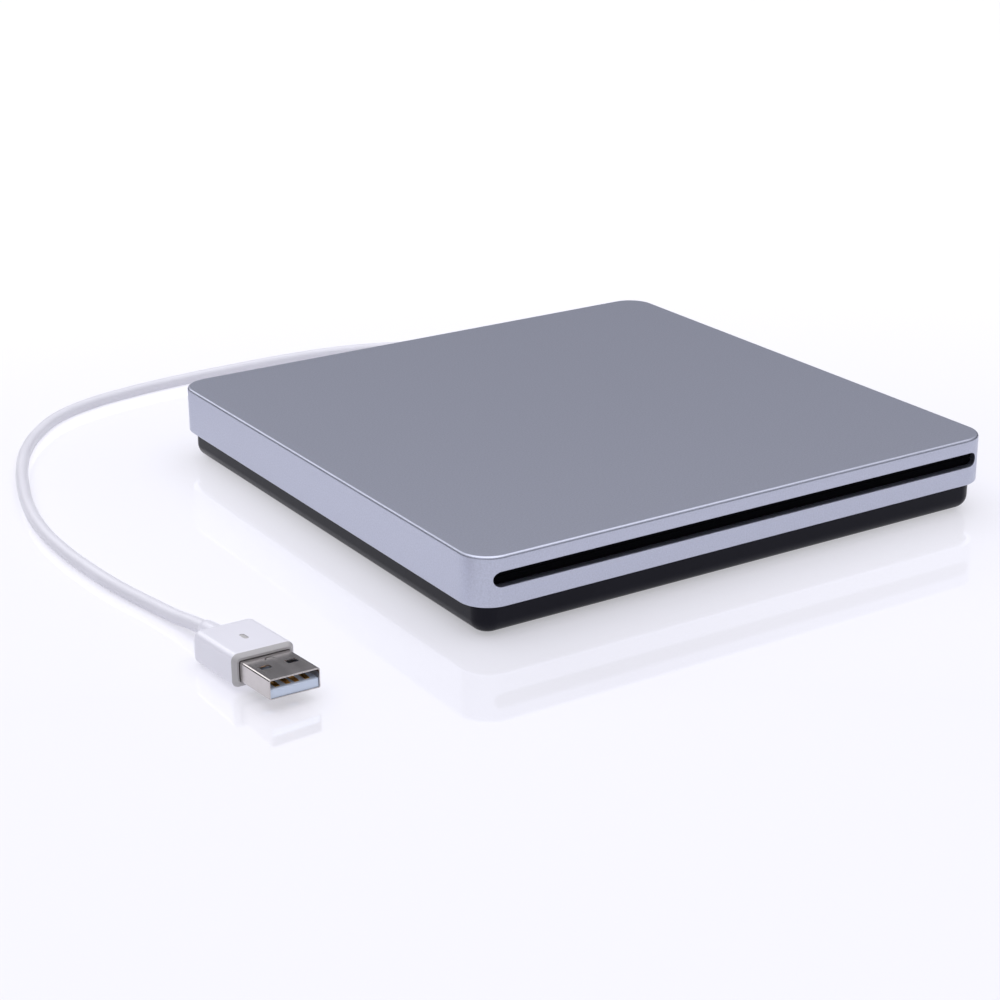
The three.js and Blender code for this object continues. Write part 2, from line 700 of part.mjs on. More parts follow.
// An upright plate on the deck with a hole for the lead screw.
function screwPlate({ x0, x1, y0, y1, top }) {
  const hole = barAlongY(SCREW_X, y0 - PAST, y1 + PAST, SCREW_Z, SCREW_CREST + BORE_CLEARANCE);
  return cut(box(x0, x1, y0, y1, DECK_Z + EMBED, top), hole);
}

function addDeck() {
  const outline = roundedRect(-DECK_HALF, DECK_HALF, DECK_FRONT, DECK_REAR, DECK_CORNER);
  const { half, y0, y1, corner } = SLED_WINDOW;
  outline.holes.push(circlePath(0, 0, MOTOR_HOLE_RADIUS));
  outline.holes.push(roundedRect(-half, half, y0, y1, corner));
  const plate = slab(outline, DECK_Z, DECK_Z + DECK_THICKNESS, 10);
  const standing = DECK_Z + EMBED;
  const frontTab = box(-12, 12, DECK_FRONT, DECK_FRONT + DECK_THICKNESS, standing, 12);
  const ribs = onBothSides(DECK_HALF - DECK_THICKNESS, DECK_HALF, (x0, x1) => (
    box(x0, x1, DECK_RIB.y0, DECK_RIB.y1, standing, DECK_RIB.top)
  ));
  const hingePins = onBothSides(DECK_HALF - 0.6, DECK_HALF + HINGE_PIN_REACH, (x0, x1) => (
    barAlongX(x0, x1, HINGE_Y, HINGE_Z, HINGE_PIN_RADIUS)
  ));
  const pinBack = DECK_FRONT + DECK_THICKNESS - GAP;
  const liftPins = [-LIFT_PIN_X, LIFT_PIN_X].map((x) => (
    barAlongY(x, CAM_WALL.y0 + GAP, pinBack, LIFT_PIN_Z, LIFT_PIN_RADIUS)
  ));
  const plates = [screwPlate(SCREW_BEARING), screwPlate(MOTOR_PLATE)];
  addInTraverse('deck', join(plate, frontTab, ...ribs, ...plates, ...hingePins, ...liftPins), STEEL);
}

function addGuideRods() {
  for (const [side, x] of [['left', -ROD_X], ['right', ROD_X]]) {
    addInTraverse(`guide_rod_${side}`, barAlongY(x, ROD_FRONT, ROD_REAR, ROD_Z, ROD_RADIUS), STEEL);
  }
}

// Sled with two rod bores, a well for the lens holder and a finger on the lead screw.
function addSled() {
  const { halfX, halfY, corner, bottom, top } = SLED_BODY;
  const [front, back] = [SLED_Y - halfY, SLED_Y + halfY];
  const body = slab(roundedRect(-halfX, halfX, front, back, corner), bottom, top);
  const finger = box(
    SLED_FINGER.x,
    -halfX + EMBED,
    SLED_Y + SLED_FINGER.y0,
    SLED_Y + SLED_FINGER.y1,
    SLED_FINGER.bottom,
    SLED_FINGER.top,
  );
  const bores = [-ROD_X, ROD_X].map((x) => (
    barAlongY(x, front - PAST, back + PAST, ROD_Z, ROD_RADIUS + BORE_CLEARANCE)
  ));
  const screwBore = barAlongY(SCREW_X, front - PAST, back + PAST, SCREW_Z, SCREW_CREST + 0.15);
  const well = box(
    -LENS_WELL.halfX,
    LENS_WELL.halfX,
    SLED_Y - LENS_WELL.halfY,
    SLED_Y + LENS_WELL.halfY,
    LENS_WELL.bottom,
    top + PAST,
  );
  addInTraverse('sled', cut(join(body, finger), ...bores, screwBore, well), GREY_PLASTIC);
}

function addLens() {
  const { halfX, halfY, corner, bottom, top } = LENS_HOLDER;
  const holder = slab(roundedRect(-halfX, halfX, SLED_Y - halfY, SLED_Y + halfY, corner), bottom, top);
  const seat = bar(0, SLED_Y, LENS_SEAT_RADIUS, LENS_BOTTOM - 0.2, top + PAST, 24);
  addInTraverse('lens_holder', cut(holder, seat), NATURAL_PLASTIC);
  const rim = LENS_SEAT_RADIUS - GAP;
  const lens = turned([
    [0, LENS_BOTTOM],
    [rim, LENS_BOTTOM],
    [rim, LENS_BOTTOM + 0.5],
    [1.8, LENS_BOTTOM + 0.75],
    [1, LENS_BOTTOM + 0.95],
    [0, LENS_BOTTOM + 1],
  ], 24);
  addInTraverse('lens', lens.translate(0, SLED_Y, 0), GLASS);
}

// A core with one helical ridge, a full turn in each pitch.
function addLeadScrew() {
  const around = 12;
  const ringsPerTurn = 4;
  const rings = [];
  for (let z = 0; z <= SCREW_END - SCREW_START + 1e-6; z += SCREW_PITCH / ringsPerTurn) {
    const points = [];
    for (let i = 0; i < around; i += 1) {
      const angle = (i * 2 * Math.PI) / around;
      const ridge = Math.max(0, Math.cos(angle - (z * 2 * Math.PI) / SCREW_PITCH));
      const radius = SCREW_CORE + (SCREW_CREST - SCREW_CORE) * ridge;
      points.push([radius * Math.cos(angle), radius * Math.sin(angle), z]);
    }
    rings.push(points);
  }
  const screw = loft(rings).rotateX(-Math.PI / 2).translate(SCREW_X, SCREW_START, SCREW_Z);
  addInTraverse('lead_screw', screw, STEEL);
}

function addStepper() {
  const { halfX, halfZ, corner, y0, y1 } = STEPPER;
  const can = slab(roundedRect(-halfX, halfX, -halfZ, halfZ, corner), 0, y1 - y0).rotateX(Math.PI / 2);
  addInTraverse('stepper', can.translate(SCREW_X, y1, SCREW_Z), ZINC);
}

function addSpindleMotor() {
  const stator = turned([
    [0, STATOR.bottom],
    [STATOR.radius, STATOR.bottom],
    [STATOR.radius, STATOR.plate],
    [STATOR.shaft, STATOR.plate],
    [STATOR.shaft, STATOR.shaftTop],
    [0, STATOR.shaftTop],
  ], 40);
  addInTraverse('spindle_stator', stator, GREY_PLASTIC);
  const cup = turned([
    [0, ROTOR.bottom],
    [ROTOR.radius - ROTOR.edge, ROTOR.bottom],
    [ROTOR.radius, ROTOR.bottom + ROTOR.edge],
    [ROTOR.radius, ROTOR.top - ROTOR.edge],
    [ROTOR.radius - ROTOR.edge, ROTOR.top],
    [0, ROTOR.top],
  ], 40);
  const bore = bar(0, 0, ROTOR.bore, ROTOR.bottom - PAST, ROTOR.boreTop, 20);
  addInTraverse('spindle_rotor', cut(cup, bore), STEEL);
}

// The pad under the disc and the hub that centres it, with three balls that grip its hole.
function addTurntable() {
  const pad = bar(0, 0, PAD_RADIUS, PAD_BOTTOM, DISC_UNDERSIDE, 48);
  const hole = bar(0, 0, PAD_HOLE_RADIUS, PAD_BOTTOM - PAST, DISC_UNDERSIDE + PAST, 32);
  addInTraverse('turntable', cut(pad, hole), RUBBER);
  const ballAngles = [0, 1, 2].map((i) => Math.PI / 2 + (i * 2 * Math.PI) / 3);
  const notches = ballAngles.map((angle) => box(5, 8, -1.5, 1.5, BALL_Z - 1.1, BALL_Z + 1).rotateZ(angle));
  const hub = turned([
    [0, PAD_BOTTOM],
    [HUB_RADIUS, PAD_BOTTOM],
    [HUB_RADIUS, HUB_TOP - HUB_TAPER],
    [HUB_RADIUS - HUB_TAPER, HUB_TOP],
    [0, HUB_TOP],
  ], 36);
  addInTraverse('chuck_hub', cut(hub, ...notches), NATURAL_PLASTIC);
  ballAngles.forEach((angle, i) => {
    const ball = new THREE.SphereGeometry(BALL_RADIUS, 12, 8);
    ball.translate(BALL_AT * Math.cos(angle), BALL_AT * Math.sin(angle), BALL_Z);
    addInTraverse(`chuck_ball_${i + 1}`, ball, STEEL);
  });
}

// ---------------------------------------------------------------- loader

// Sloping slot that carries a lift pin down as the slider moves.
function camSlot(pinX) {
  const length = Math.hypot(CAM_TRAVEL, LIFT_DROP);
  const half = CAM_SLOT_HALF;
  const outline = roundedRect(-half, length + half, -half, half, half - 0.01);
  const tool = slab(outline, 0, 3).rotateX(Math.PI / 2);
  tool.rotateY(-Math.atan2(-LIFT_DROP, -CAM_TRAVEL));
  return tool.translate(pinX, -18.4, LIFT_PIN_Z);
}

// Rack tooth with its flanks narrowed for running clearance.
function rackTooth(rootY) {
  const pitch = Math.PI * RACK_MODULE;
  const tipY = RACK_PITCH_Y - 0.85 * RACK_MODULE;
  const tooth = new THREE.Shape();
  tooth.moveTo(-0.3 * pitch, rootY + 0.2);
  tooth.lineTo(-0.1 * pitch, tipY);
  tooth.lineTo(0.1 * pitch, tipY);
  tooth.lineTo(0.3 * pitch, rootY + 0.2);
  tooth.closePath();
  return slab(tooth, RACK_BOTTOM, RACK_TOP);
}

function addCamSlider() {
  const { x0, x1, y0, y1, bottom, top } = CAM_WALL;
  const rootY = RACK_PITCH_Y + 1.1 * RACK_MODULE;
  const wall = box(x0, x1, y0, y1, bottom, top);
  const flange = box(x0, x1, rootY, y0 + 0.6, RACK_BOTTOM, RACK_TOP);
  const pitch = Math.PI * RACK_MODULE;
  const first = Math.ceil((x0 + 1 - GEAR_X) / pitch);
  const teeth = [];
  for (let i = first; GEAR_X + i * pitch < x1 - 1; i += 1) {
    teeth.push(rackTooth(rootY).translate(GEAR_X + i * pitch, 0, 0));
  }
  const slider = cut(join(wall, flange, ...teeth), camSlot(-LIFT_PIN_X), camSlot(LIFT_PIN_X));
  addInTraverse('cam_slider', slider, NATURAL_PLASTIC);
}

// Compound gear: a pinion on the rack, a sleeve, and a wheel on the motor's pinion.
function addLoaderGear() {
  const pinion = slab(gearShape(PINION_TEETH, RACK_MODULE), RACK_BOTTOM, RACK_TOP + 0.1);
  const sleeve = bar(0, 0, GEAR_SLEEVE_RADIUS, RACK_TOP - EMBED, WHEEL_BOTTOM + EMBED);
  const wheel = slab(gearShape(WHEEL_TEETH, WHEEL_MODULE), WHEEL_BOTTOM, WHEEL_TOP);
  const bore = bar(0, 0, GEAR_PIN_RADIUS + GAP, RACK_BOTTOM - PAST, WHEEL_TOP + PAST, 16);
  const gear = cut(join(pinion, sleeve, wheel), bore);
  addInTraverse('loader_gear', gear.translate(GEAR_X, GEAR_Y, 0), NATURAL_PLASTIC);
}

function addLoaderMotor() {
  const { radius, bottom, top, edge } = MOTOR_CAN;
  const shaftBottom = 9.5;
  const pinion = slab(gearShape(PINION_TEETH, WHEEL_MODULE), WHEEL_BOTTOM, WHEEL_TOP + EMBED);
  const shaft = bar(0, 0, MOTOR_SHAFT_RADIUS, shaftBottom, WHEEL_BOTTOM + EMBED, 12);
  addInTraverse('motor_pinion', join(pinion, shaft).translate(GEAR_X, MOTOR_Y, 0), GOLD);
  const blank = turned([
    [0, bottom],
    [radius - edge, bottom],
    [radius, bottom + edge],
    [radius, top - edge],
    [radius - edge, top],
    [0, top],
  ], 28);
  const can = cut(blank, bar(0, 0, MOTOR_SHAFT_RADIUS + GAP, shaftBottom - GAP, top + PAST, 12));
  addInTraverse('loader_motor', can.translate(GEAR_X, MOTOR_Y, 0), ZINC);
}

function addSideSlider() {
  const { x0, x1, y0, y1, bottom, top } = SIDE_STRIP;
  const middle = (x0 + x1) / 2;
  const { half, length, starts } = SIDE_SLOT;
  const slots = starts.map((y) => (
    slab(roundedRect(middle - half, middle + half, y, y + length, half - 0.05), bottom - PAST, top + PAST)
  ));
  const pegs = SIDE_PEGS.map((y) => bar(middle, y, ROLLER_PIN_RADIUS, top - EMBED, ARM_Z - EMBED, 16));
  add('side_slider', join(cut(box(x0, x1, y0, y1, bottom, top), ...slots), ...pegs), NATURAL_PLASTIC);
}

function addArm(name, { pivot, tip }) {
  const [dx, dy] = [tip[0] - pivot[0], tip[1] - pivot[1]];
  const length = Math.hypot(dx, dy);
  const armTop = ARM_Z + ARM_THICKNESS;
  const half = ARM_HALF_WIDTH;
  const blade = slab(roundedRect(-half, length + half, -half, half, half - 0.01), ARM_Z, armTop);
  const collar = bar(0, 0, ARM_COLLAR_RADIUS, ARM_Z, armTop);
  const rollerPin = bar(length, 0, ROLLER_PIN_RADIUS, ARM_Z + EMBED, ROLLER_TOP + GAP, 16);
  const bore = bar(0, 0, PIVOT_RADIUS + GAP, ARM_Z - PAST, armTop + PAST, 16);
  const arm = cut(join(blade, collar, rollerPin), bore).rotateZ(Math.atan2(dy, dx));
  add(`${name}_arm`, arm.translate(pivot[0], pivot[1], 0), GREY_PLASTIC);
}

// Grooved to take the disc's edge.
function addRoller(name, { tip }) {
  const waist = ROLLER_RADIUS - ROLLER_GROOVE;
  const blank = turned([
    [0, ROLLER_BOTTOM],
    [ROLLER_RADIUS, ROLLER_BOTTOM],
    [waist, ROLLER_BOTTOM + 0.7],
    [waist, ROLLER_TOP - 0.7],
    [ROLLER_RADIUS, ROLLER_TOP],
    [0, ROLLER_TOP],
  ], 24);
  const boreRadius = ROLLER_PIN_RADIUS + BORE_CLEARANCE;
  const roller = cut(blank, bar(0, 0, boreRadius, ROLLER_BOTTOM - PAST, ROLLER_TOP + PAST, 16));
  add(`${name}_roller`, roller.translate(tip[0], tip[1], 0), NATURAL_PLASTIC);
}

// ---------------------------------------------------------------- electronics

function boardShape({ x0, x1, y0, y1 }) {
  return roundedRect(x0, x1, y0, y1, BOARD_CORNER);
}

function addBoards() {
  const driveShape = boardShape(DRIVE_BOARD);
  driveShape.holes.push(circlePath(...EJECT_ARM.pivot, 2 * PIVOT_RADIUS + 0.6));
  add('drive_board', slab(driveShape, DRIVE_BOARD.bottom, DRIVE_BOARD.top), BOARD_GREEN);
  add('bridge_board', slab(boardShape(BRIDGE_BOARD), BRIDGE_BOARD.bottom, BRIDGE_BOARD.top), BOARD_GREEN);
  const driveChipBottom = DRIVE_BOARD.top + 0.2;
  add('drive_chip', box(-36, -24, 26, 38, driveChipBottom, driveChipBottom + 1.2), CHIP_BLACK);
  const bridgeTop = BRIDGE_BOARD.top + 0.2;
  add('bridge_chip', box(20, 27, 60, 67, bridgeTop, bridgeTop + 1), CHIP_BLACK);
  const housing = box(42, 57, 57.4, 62.5, bridgeTop, bridgeTop + 3.4);
  const mouth = box(43, 56, 57, 60.5, bridgeTop + 1, bridgeTop + 2.4);
  add('sata_connector', cut(housing, mouth), CHIP_BLACK);
}

// ---------------------------------------------------------------- cord and plug

// Neck through the tray's wall, a flange outside it, and ribs that taper towards the cord.
function addStrainRelief() {
  const { radius: flange, y0, y1 } = RELIEF_FLANGE;
  const { radius: root, first, last, spacing, taper, depth } = RELIEF_RIBS;
  const profile = [[0, RELIEF_START], [RELIEF_NECK, RELIEF_START], [RELIEF_NECK, y0]];
  profile.push([flange, y0], [flange, y1], [root, y1 + GAP]);
  for (let y = first; y < last; y += spacing) {
    const crest = root - taper * (y - first);
    profile.push([crest, y], [crest - depth, y + 0.2], [crest - depth, y + 0.6], [crest, y + 0.8]);
  }
  profile.push([2, RELIEF_END], [0, RELIEF_END]);
  const relief = turned(profile, 20).rotateX(-Math.PI / 2);
  add('strain_relief', relief.translate(EXIT_X, 0, EXIT_Z), WHITE_PLASTIC);
}

function addCord() {
  const corners = Array.from({ length: CORD_SIDES }, (_, i) => {
    const angle = ((i + 0.5) * 2 * Math.PI) / CORD_SIDES;
    return new THREE.Vector2(CORD_RADIUS * Math.cos(angle), CORD_RADIUS * Math.sin(angle));
  });
  const points = CORD_ROUTE.map((point) => new THREE.Vector3(...point));
  const route = new THREE.CatmullRomCurve3(points, false, 'centripetal');
  const options = { steps: CORD_STEPS, bevelEnabled: false, extrudePath: route };
  add('cord', new THREE.ExtrudeGeometry(new THREE.Shape(corners), options), WHITE_PLASTIC);
}

// Places a plug piece drawn with its mouth at the origin and its length along +Y.
function addOnPlug(name, geometry, surface) {
  const turned = geometry.rotateY(PLUG_ROLL).rotateX(PLUG_PITCH).rotateZ(PLUG_YAW);
  add(name, turned.translate(...PLUG_AT), surface);
}

// Half-moon slit around the latching spring in the shell's top.
function springCut() {
  const { y, outer, inner } = SPRING_CUT;
  const slit = new THREE.Shape();
  slit.absarc(0, y, outer, 0, Math.PI, false);
  slit.lineTo(-inner, y);
  slit.absarc(0, y, inner, Math.PI, 0, true);
  slit.closePath();
  return slab(slit, SHELL_HEIGHT / 2 - 2 * SHELL_WALL, SHELL_HEIGHT / 2 + SHELL_WALL, 8);
}

function addPlugShell() {
  const [halfX, halfZ] = [SHELL_WIDTH / 2, SHELL_HEIGHT / 2];
  const [boreX, boreZ] = [halfX - SHELL_WALL, halfZ - SHELL_WALL];
  const section = roundedRect(-halfX, halfX, -halfZ, halfZ, SHELL_CORNER);
  section.holes.push(roundedRect(-boreX, boreX, -boreZ, boreZ, SHELL_CORNER - SHELL_WALL));
  const tube = slab(section, 0, SHELL_LENGTH, 3).rotateX(-Math.PI / 2);
  const windows = [-WINDOW.x, WINDOW.x].map((x) => {
    const { half, y0, y1 } = WINDOW;
    return box(x - half, x + half, y0, y1, -halfZ - PAST, halfZ + PAST);
  });
  addOnPlug('plug_shell', cut(tube, ...windows, springCut()), STEEL);
}

function addPlugTongue() {
  const { half, y0, y1, bottom } = TONGUE;
  addOnPlug('plug_tongue', box(-half, half, y0, y1, bottom, 0), WHITE_PLASTIC);
  CONTACT.xs.forEach((x, i) => {
    const [x0, x1] = [x - CONTACT.half, x + CONTACT.half];
    const contact = box(x0, x1, CONTACT.y0, CONTACT.y1, CONTACT.bottom, CONTACT.top);
    addOnPlug(`plug_contact_${i + 1}`, contact, GOLD);
  });
}

function addPlugBody() {
  const rings = GRIP_SECTIONS.map(([y, halfX, halfZ, radius]) => ring(halfX, halfZ, radius, y));
  const grip = loft(rings).rotateX(-Math.PI / 2);
  const [recessX, recessZ] = [SHELL_WIDTH / 2 + GAP, SHELL_HEIGHT / 2 + GAP];
  const recess = box(-recessX, recessX, GRIP_FRONT - PAST, SHELL_LENGTH + GAP, -recessZ, recessZ);
  const { half, y0, y1, depth } = GROOVE;
  const outline = roundedRect(-half, half, y0, y1, half - 0.01);
  const groove = slab(outline, GRIP_HALF_HEIGHT - depth, GRIP_HALF_HEIGHT + PAST);
  addOnPlug('plug_body', cut(grip, recess, groove), WHITE_PLASTIC);
}

// ---------------------------------------------------------------- assembly

addTopCover();
addBaseTray();
addFeet();
addCaseScrews();
addSlotFelts();
addDrivePan();
addDriveLid();
addLidScrews();
addDeck();
addGuideRods();
addSled();
addLens();
addLeadScrew();
addStepper();
addSpindleMotor();
addTurntable();
addCamSlider();
addLoaderGear();
addLoaderMotor();
addSideSlider();
for (const [name, arm] of [['left', LEFT_ARM], ['right', RIGHT_ARM], ['eject', EJECT_ARM]]) {
  addArm(name, arm);
  addRoller(name, arm);
}
addBoards();
addStrainRelief();
addCord();
addPlugShell();
addPlugTongue();
addPlugBody();

export default part;
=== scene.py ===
import json
import math

import bmesh
import bpy
from mathutils import Matrix, Vector


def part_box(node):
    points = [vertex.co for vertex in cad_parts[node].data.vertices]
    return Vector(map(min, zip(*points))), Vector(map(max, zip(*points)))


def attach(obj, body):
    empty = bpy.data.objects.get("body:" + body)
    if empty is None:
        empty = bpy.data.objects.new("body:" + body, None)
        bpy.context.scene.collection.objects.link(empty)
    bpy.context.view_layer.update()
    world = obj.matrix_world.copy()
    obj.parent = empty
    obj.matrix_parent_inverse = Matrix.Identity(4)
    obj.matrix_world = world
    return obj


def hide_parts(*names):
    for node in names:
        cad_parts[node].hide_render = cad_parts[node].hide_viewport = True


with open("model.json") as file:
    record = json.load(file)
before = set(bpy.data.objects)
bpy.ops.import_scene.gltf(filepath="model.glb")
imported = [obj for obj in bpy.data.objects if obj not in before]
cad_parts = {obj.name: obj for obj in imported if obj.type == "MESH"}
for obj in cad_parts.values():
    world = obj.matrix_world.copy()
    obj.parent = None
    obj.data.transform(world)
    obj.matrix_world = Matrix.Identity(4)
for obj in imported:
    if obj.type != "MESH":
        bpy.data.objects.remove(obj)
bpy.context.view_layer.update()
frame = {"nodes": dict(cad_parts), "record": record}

MM = 0.001
MICRON = 0.000001
scene = bpy.context.scene


# ---------------------------------------------------------------- camera

CAMERA_PLACE = Vector((-0.31036, -0.45512, 0.20474))
CAMERA_AZIMUTH = math.radians(-32.414)
CAMERA_ELEVATION = math.radians(20.874)
CAMERA_ROLL = math.radians(-0.424)
FOCAL_LENGTH = 81.41
SENSOR_WIDTH = 36


def make_camera():
    """A long lens from the front left, a little above the object."""
    back = Vector((
        math.sin(CAMERA_AZIMUTH) * math.cos(CAMERA_ELEVATION),
        -math.cos(CAMERA_AZIMUTH) * math.cos(CAMERA_ELEVATION),
        math.sin(CAMERA_ELEVATION),
    ))
    right = (-back).cross(Vector((0, 0, 1))).normalized()
    up = back.cross(right)
    rolled_right = math.cos(CAMERA_ROLL) * right + math.sin(CAMERA_ROLL) * up
    rolled_up = -math.sin(CAMERA_ROLL) * right + math.cos(CAMERA_ROLL) * up
    turn = Matrix((rolled_right, rolled_up, back)).transposed()
    data = bpy.data.cameras.new("camera")
    data.sensor_width = SENSOR_WIDTH
    data.lens = FOCAL_LENGTH
    data.clip_start = 0.05
    data.clip_end = 20
    camera = bpy.data.objects.new("camera", data)
    camera.matrix_world = Matrix.Translation(CAMERA_PLACE) @ turn.to_4x4()
    scene.collection.objects.link(camera)
    scene.camera = camera


make_camera()


# ---------------------------------------------------------------- dimensions, in millimetres

def node_box(node):
    """The low and high corners of a CAD node, to a hundredth of a millimetre."""
    return [[round(value / MM, 2) for value in corner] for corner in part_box(node)]


# How far a cutting tool reaches past a face, and how far a joined shape reaches into another.
PAST = 1
EMBED = 0.5

# Aluminium cover.
(_, _, COVER_BOTTOM), (CASE_HALF, _, CASE_TOP) = node_box("top_cover")
COVER_CORNER = 7.5
COVER_LOWER_EDGE = 0.3
COVER_UPPER_EDGE = 0.7
COVER_WALL = 2
COVER_INNER_HALF = CASE_HALF - COVER_WALL
COVER_INNER_CORNER = 3.5
COVER_CEILING = 18.2
SLOT_Z = 14.5
SLOT_HALF_LENGTH = 70.5
SLOT_HALF_HEIGHT = 1.75
SLOT_FLARE = 0.3
SLOT_FLARE_DEPTH = 0.28
BOSS = {"radius": 2.5, "low": 12, "high": 18.4}
THREAD = {"radius": 1.05, "low": 11, "high": 17}

# Black base tray.
(_, _, TRAY_BOTTOM), (TRAY_HALF, _, _) = node_box("base_tray")
TRAY_CORNER = 4.5
TRAY_LOWER_EDGE = 3.4
TRAY_TOP = 10
TRAY_TOP_EDGE = 0.2
TRAY_FLOOR = 2.1
TRAY_INNER_HALF = 70.4
TRAY_INNER_CORNER = 3.4
TRAY_INNER_UPRIGHT = 8
TRAY_INNER_HALF_LOW = 69.2
TRAY_INNER_CORNER_LOW = 3
POST_X = 67
POST_Y = 66
POST = {"radius": 2.7, "low": TRAY_FLOOR - EMBED, "high": 11.7}
COUNTERBORE = {"radius": 2.1, "low": 0, "high": 7.5}
SHANK_HOLE = {"radius": 1.1, "low": 7, "high": 13}
DRIVE_PAD = {"x": 50, "y": 45, "half_x": 5, "half_y": 4, "top": 4}
STANDOFF_XS = (12, 54)
STANDOFF_Y = 63.5
STANDOFF = {"radius": 1.8, "low": TRAY_FLOOR - EMBED, "high": 5.1}
FOOT_AT = 54
FOOT_POCKET = {"radius": 6.3, "low": 0, "high": 1.3}

# Outline of a rubber foot, as (radius, height).
FOOT_PROFILE = [(4.4, 0.12), (4.6, 0), (5.6, 0), (5.85, 0.08), (6, 0.3), (6, 1)]

# Cord, with its diameter and length in metres, and where it leaves the tray.
CORD_DIAMETER = 0.0033
CORD_ROUTE = [
    (40, 80.4, 4.9), (40.3, 87, 4.2), (40, 94, 2.6), (38.3, 101.5, 1.7), (34, 110, 1.7),
    (26.5, 117.8, 1.7), (16, 124.2, 1.7), (2, 128.6, 1.7), (-15, 130.4, 1.7), (-33, 130.4, 1.7),
    (-50, 129.6, 1.7), (-66, 127.6, 1.7), (-80, 124.2, 1.7), (-92.4, 118, 1.7), (-102, 108.8, 1.7),
    (-110, 97.6, 1.7), (-116.6, 84.4, 1.7), (-122.2, 69.2, 1.7), (-126.6, 53.6, 1.7),
    (-129.1, 39.6, 1.7), (-130, 25, 1.7), (-129.6, 10, 1.7), (-128.2, -5, 1.7), (-126, -18, 1.7),
    (-124.5, -28, 2.1), (-123.7, -34.5, 2.85), (-123.1, -40.4, 3.46),
]
OUTLET_PLACE = (40, 0, 4.9)
OUTLET = {"radius": 2.5, "low": 66, "high": 74}

# Outline of the strain relief, as (radius, distance along the cord): its flange, the shape of one
# rib as steps from the rib's start, and its tip.
RELIEF_FLANGE = [(2.2, 68.9), (2.2, 73.1), (2.9, 73.1), (3, 73.2), (3, 73.75), (2.9, 73.85), (2.62, 74.05)]
RIB_STEPS = [(0, 0), (-0.06, 0.1), (-0.25, 0.22), (-0.25, 0.58), (-0.1, 0.72), (-0.05, 0.8)]
RIBS = {"count": 4, "radius": 2.6, "first": 74.85, "spacing": 1.4, "taper": 0.07}
RELIEF_TIP = [(2.05, 80.75), (1.95, 80.85), (1.7, 80.85), (1.7, 80.05)]

# Plug. In its own frame X runs across it, Y from its mouth towards the cord, and Z up.
PLUG_PLACE = (-121.7, -79.4, 5.3)
PLUG_ROLL = Matrix.Rotation(math.radians(1.5), 4, "Y")
PLUG_PITCH = Matrix.Rotation(math.radians(-2.7), 4, "X")
PLUG_YAW = Matrix.Rotation(math.radians(2), 4, "Z")
PLUG_TURN = PLUG_YAW @ PLUG_PITCH @ PLUG_ROLL
SHELL_HALF_WIDTH = 6
SHELL_HALF_HEIGHT = 2.25
SHELL_LENGTH = 14.2

# Sections of the metal shell's outside and of its bore, as (y, inset, corner radius).
SHELL_SECTIONS = [(0, 0.14, 0.42), (0.05, 0.05, 0.47), (0.15, 0, 0.5), (SHELL_LENGTH, 0, 0.5)]
BORE_SECTIONS = [(-0.5, 0.2, 0.3), (0.06, 0.28, 0.24), (0.2, 0.3, 0.22), (15, 0.3, 0.22)]
WINDOW = {"x": 3.1, "half": 1.25, "y0": 5.8, "y1": 7.7}
SPRING_CUT = {"y": 10.2, "outer": 1.2, "inner": 0.9, "low": 1.8, "high": 2.6}
ARC_STEPS = 12

# Sections of the tongue, as (y, half width, bottom, top), and of a contact, as (y, bottom, top).
TONGUE_SECTIONS = [
    (0.25, 5.6, -1.93, -0.2), (0.4, 5.65, -1.94, -0.05), (1.1, 5.65, -1.94, 0), (13.8, 5.65, -1.94, 0),
]
CONTACT_XS = (-3.5, -1, 1, 3.5)
CONTACT_HALF = 0.55
CONTACT_SECTIONS = [(1.1, 0.02, 0.14), (1.5, 0.06, 0.2), (2.4, 0.1, 0.3), (10, 0.1, 0.3)]

# Sections of the grip, as (y, half width, half height, corner radius): the bevelled lip, the
# straight sides, the rounded back and the neck.
GRIP_LIP = [
    (12.6, 6.5, 2.85, 1.0), (12.66, 6.62, 2.97, 1.1), (13.45, 7.28, 3.63, 1.5), (13.6, 7.37, 3.72, 1.56),
]
GRIP_SIDES = [(13.8, 7.4, 3.75, 1.6), (22, 7.4, 3.75, 1.6), (29.6, 7.4, 3.75, 1.65)]
GRIP_ROUNDED_BACK = [
    (30.1, 7.37, 3.72, 1.68), (30.6, 7.27, 3.6, 1.7), (31.05, 7.05, 3.4, 1.75), (31.4, 6.7, 3.15, 1.85),
    (31.6, 6.3, 2.95, 2.0), (31.72, 5.6, 2.8, 2.2), (31.85, 4.6, 2.7, 2.4), (32.1, 3.6, 2.62, 2.45),
]
GRIP_NECK = [
    (32.5, 2.95, 2.55, 2.45), (33.1, 2.6, 2.48, 2.4), (34, 2.45, 2.42, 2.38), (36, 2.3, 2.3, 2.27),
    (38, 2.12, 2.12, 2.09), (39.2, 2.0, 2.0, 1.97), (39.42, 1.92, 1.92, 1.9), (39.5, 1.8, 1.8, 1.78),
]
GRIP_SECTIONS = GRIP_LIP + GRIP_SIDES + GRIP_ROUNDED_BACK + GRIP_NECK
GRIP_TOP = 3.75
# Grip faces ahead of this are painted grey as shade on the lip.
LIP_END = 13.55

# Sections of the hole that the metal shell comes out of, as (y, gap around the shell, corner radius).
RECESS_SECTIONS = [(12, 0.12, 0.56), (14.5, 0.17, 0.6)]
GROOVE = {"half_width": 0.6, "half_length": 1.5, "y": 21.5, "depth": 0.12}
GROOVE_MARGIN = 0.03
CORD_SOCKET = {"radius": 1.72, "low": 38.6, "high": 40}

# A round end's radius is a hair under half its width, so that a ring's points never coincide.
ROUND_END_GAP = 0.01


# ---------------------------------------------------------------- materials

# The part of a noise's range that nearly all of its values fall in.
NOISE_MIDDLE = (0.3, 0.7)


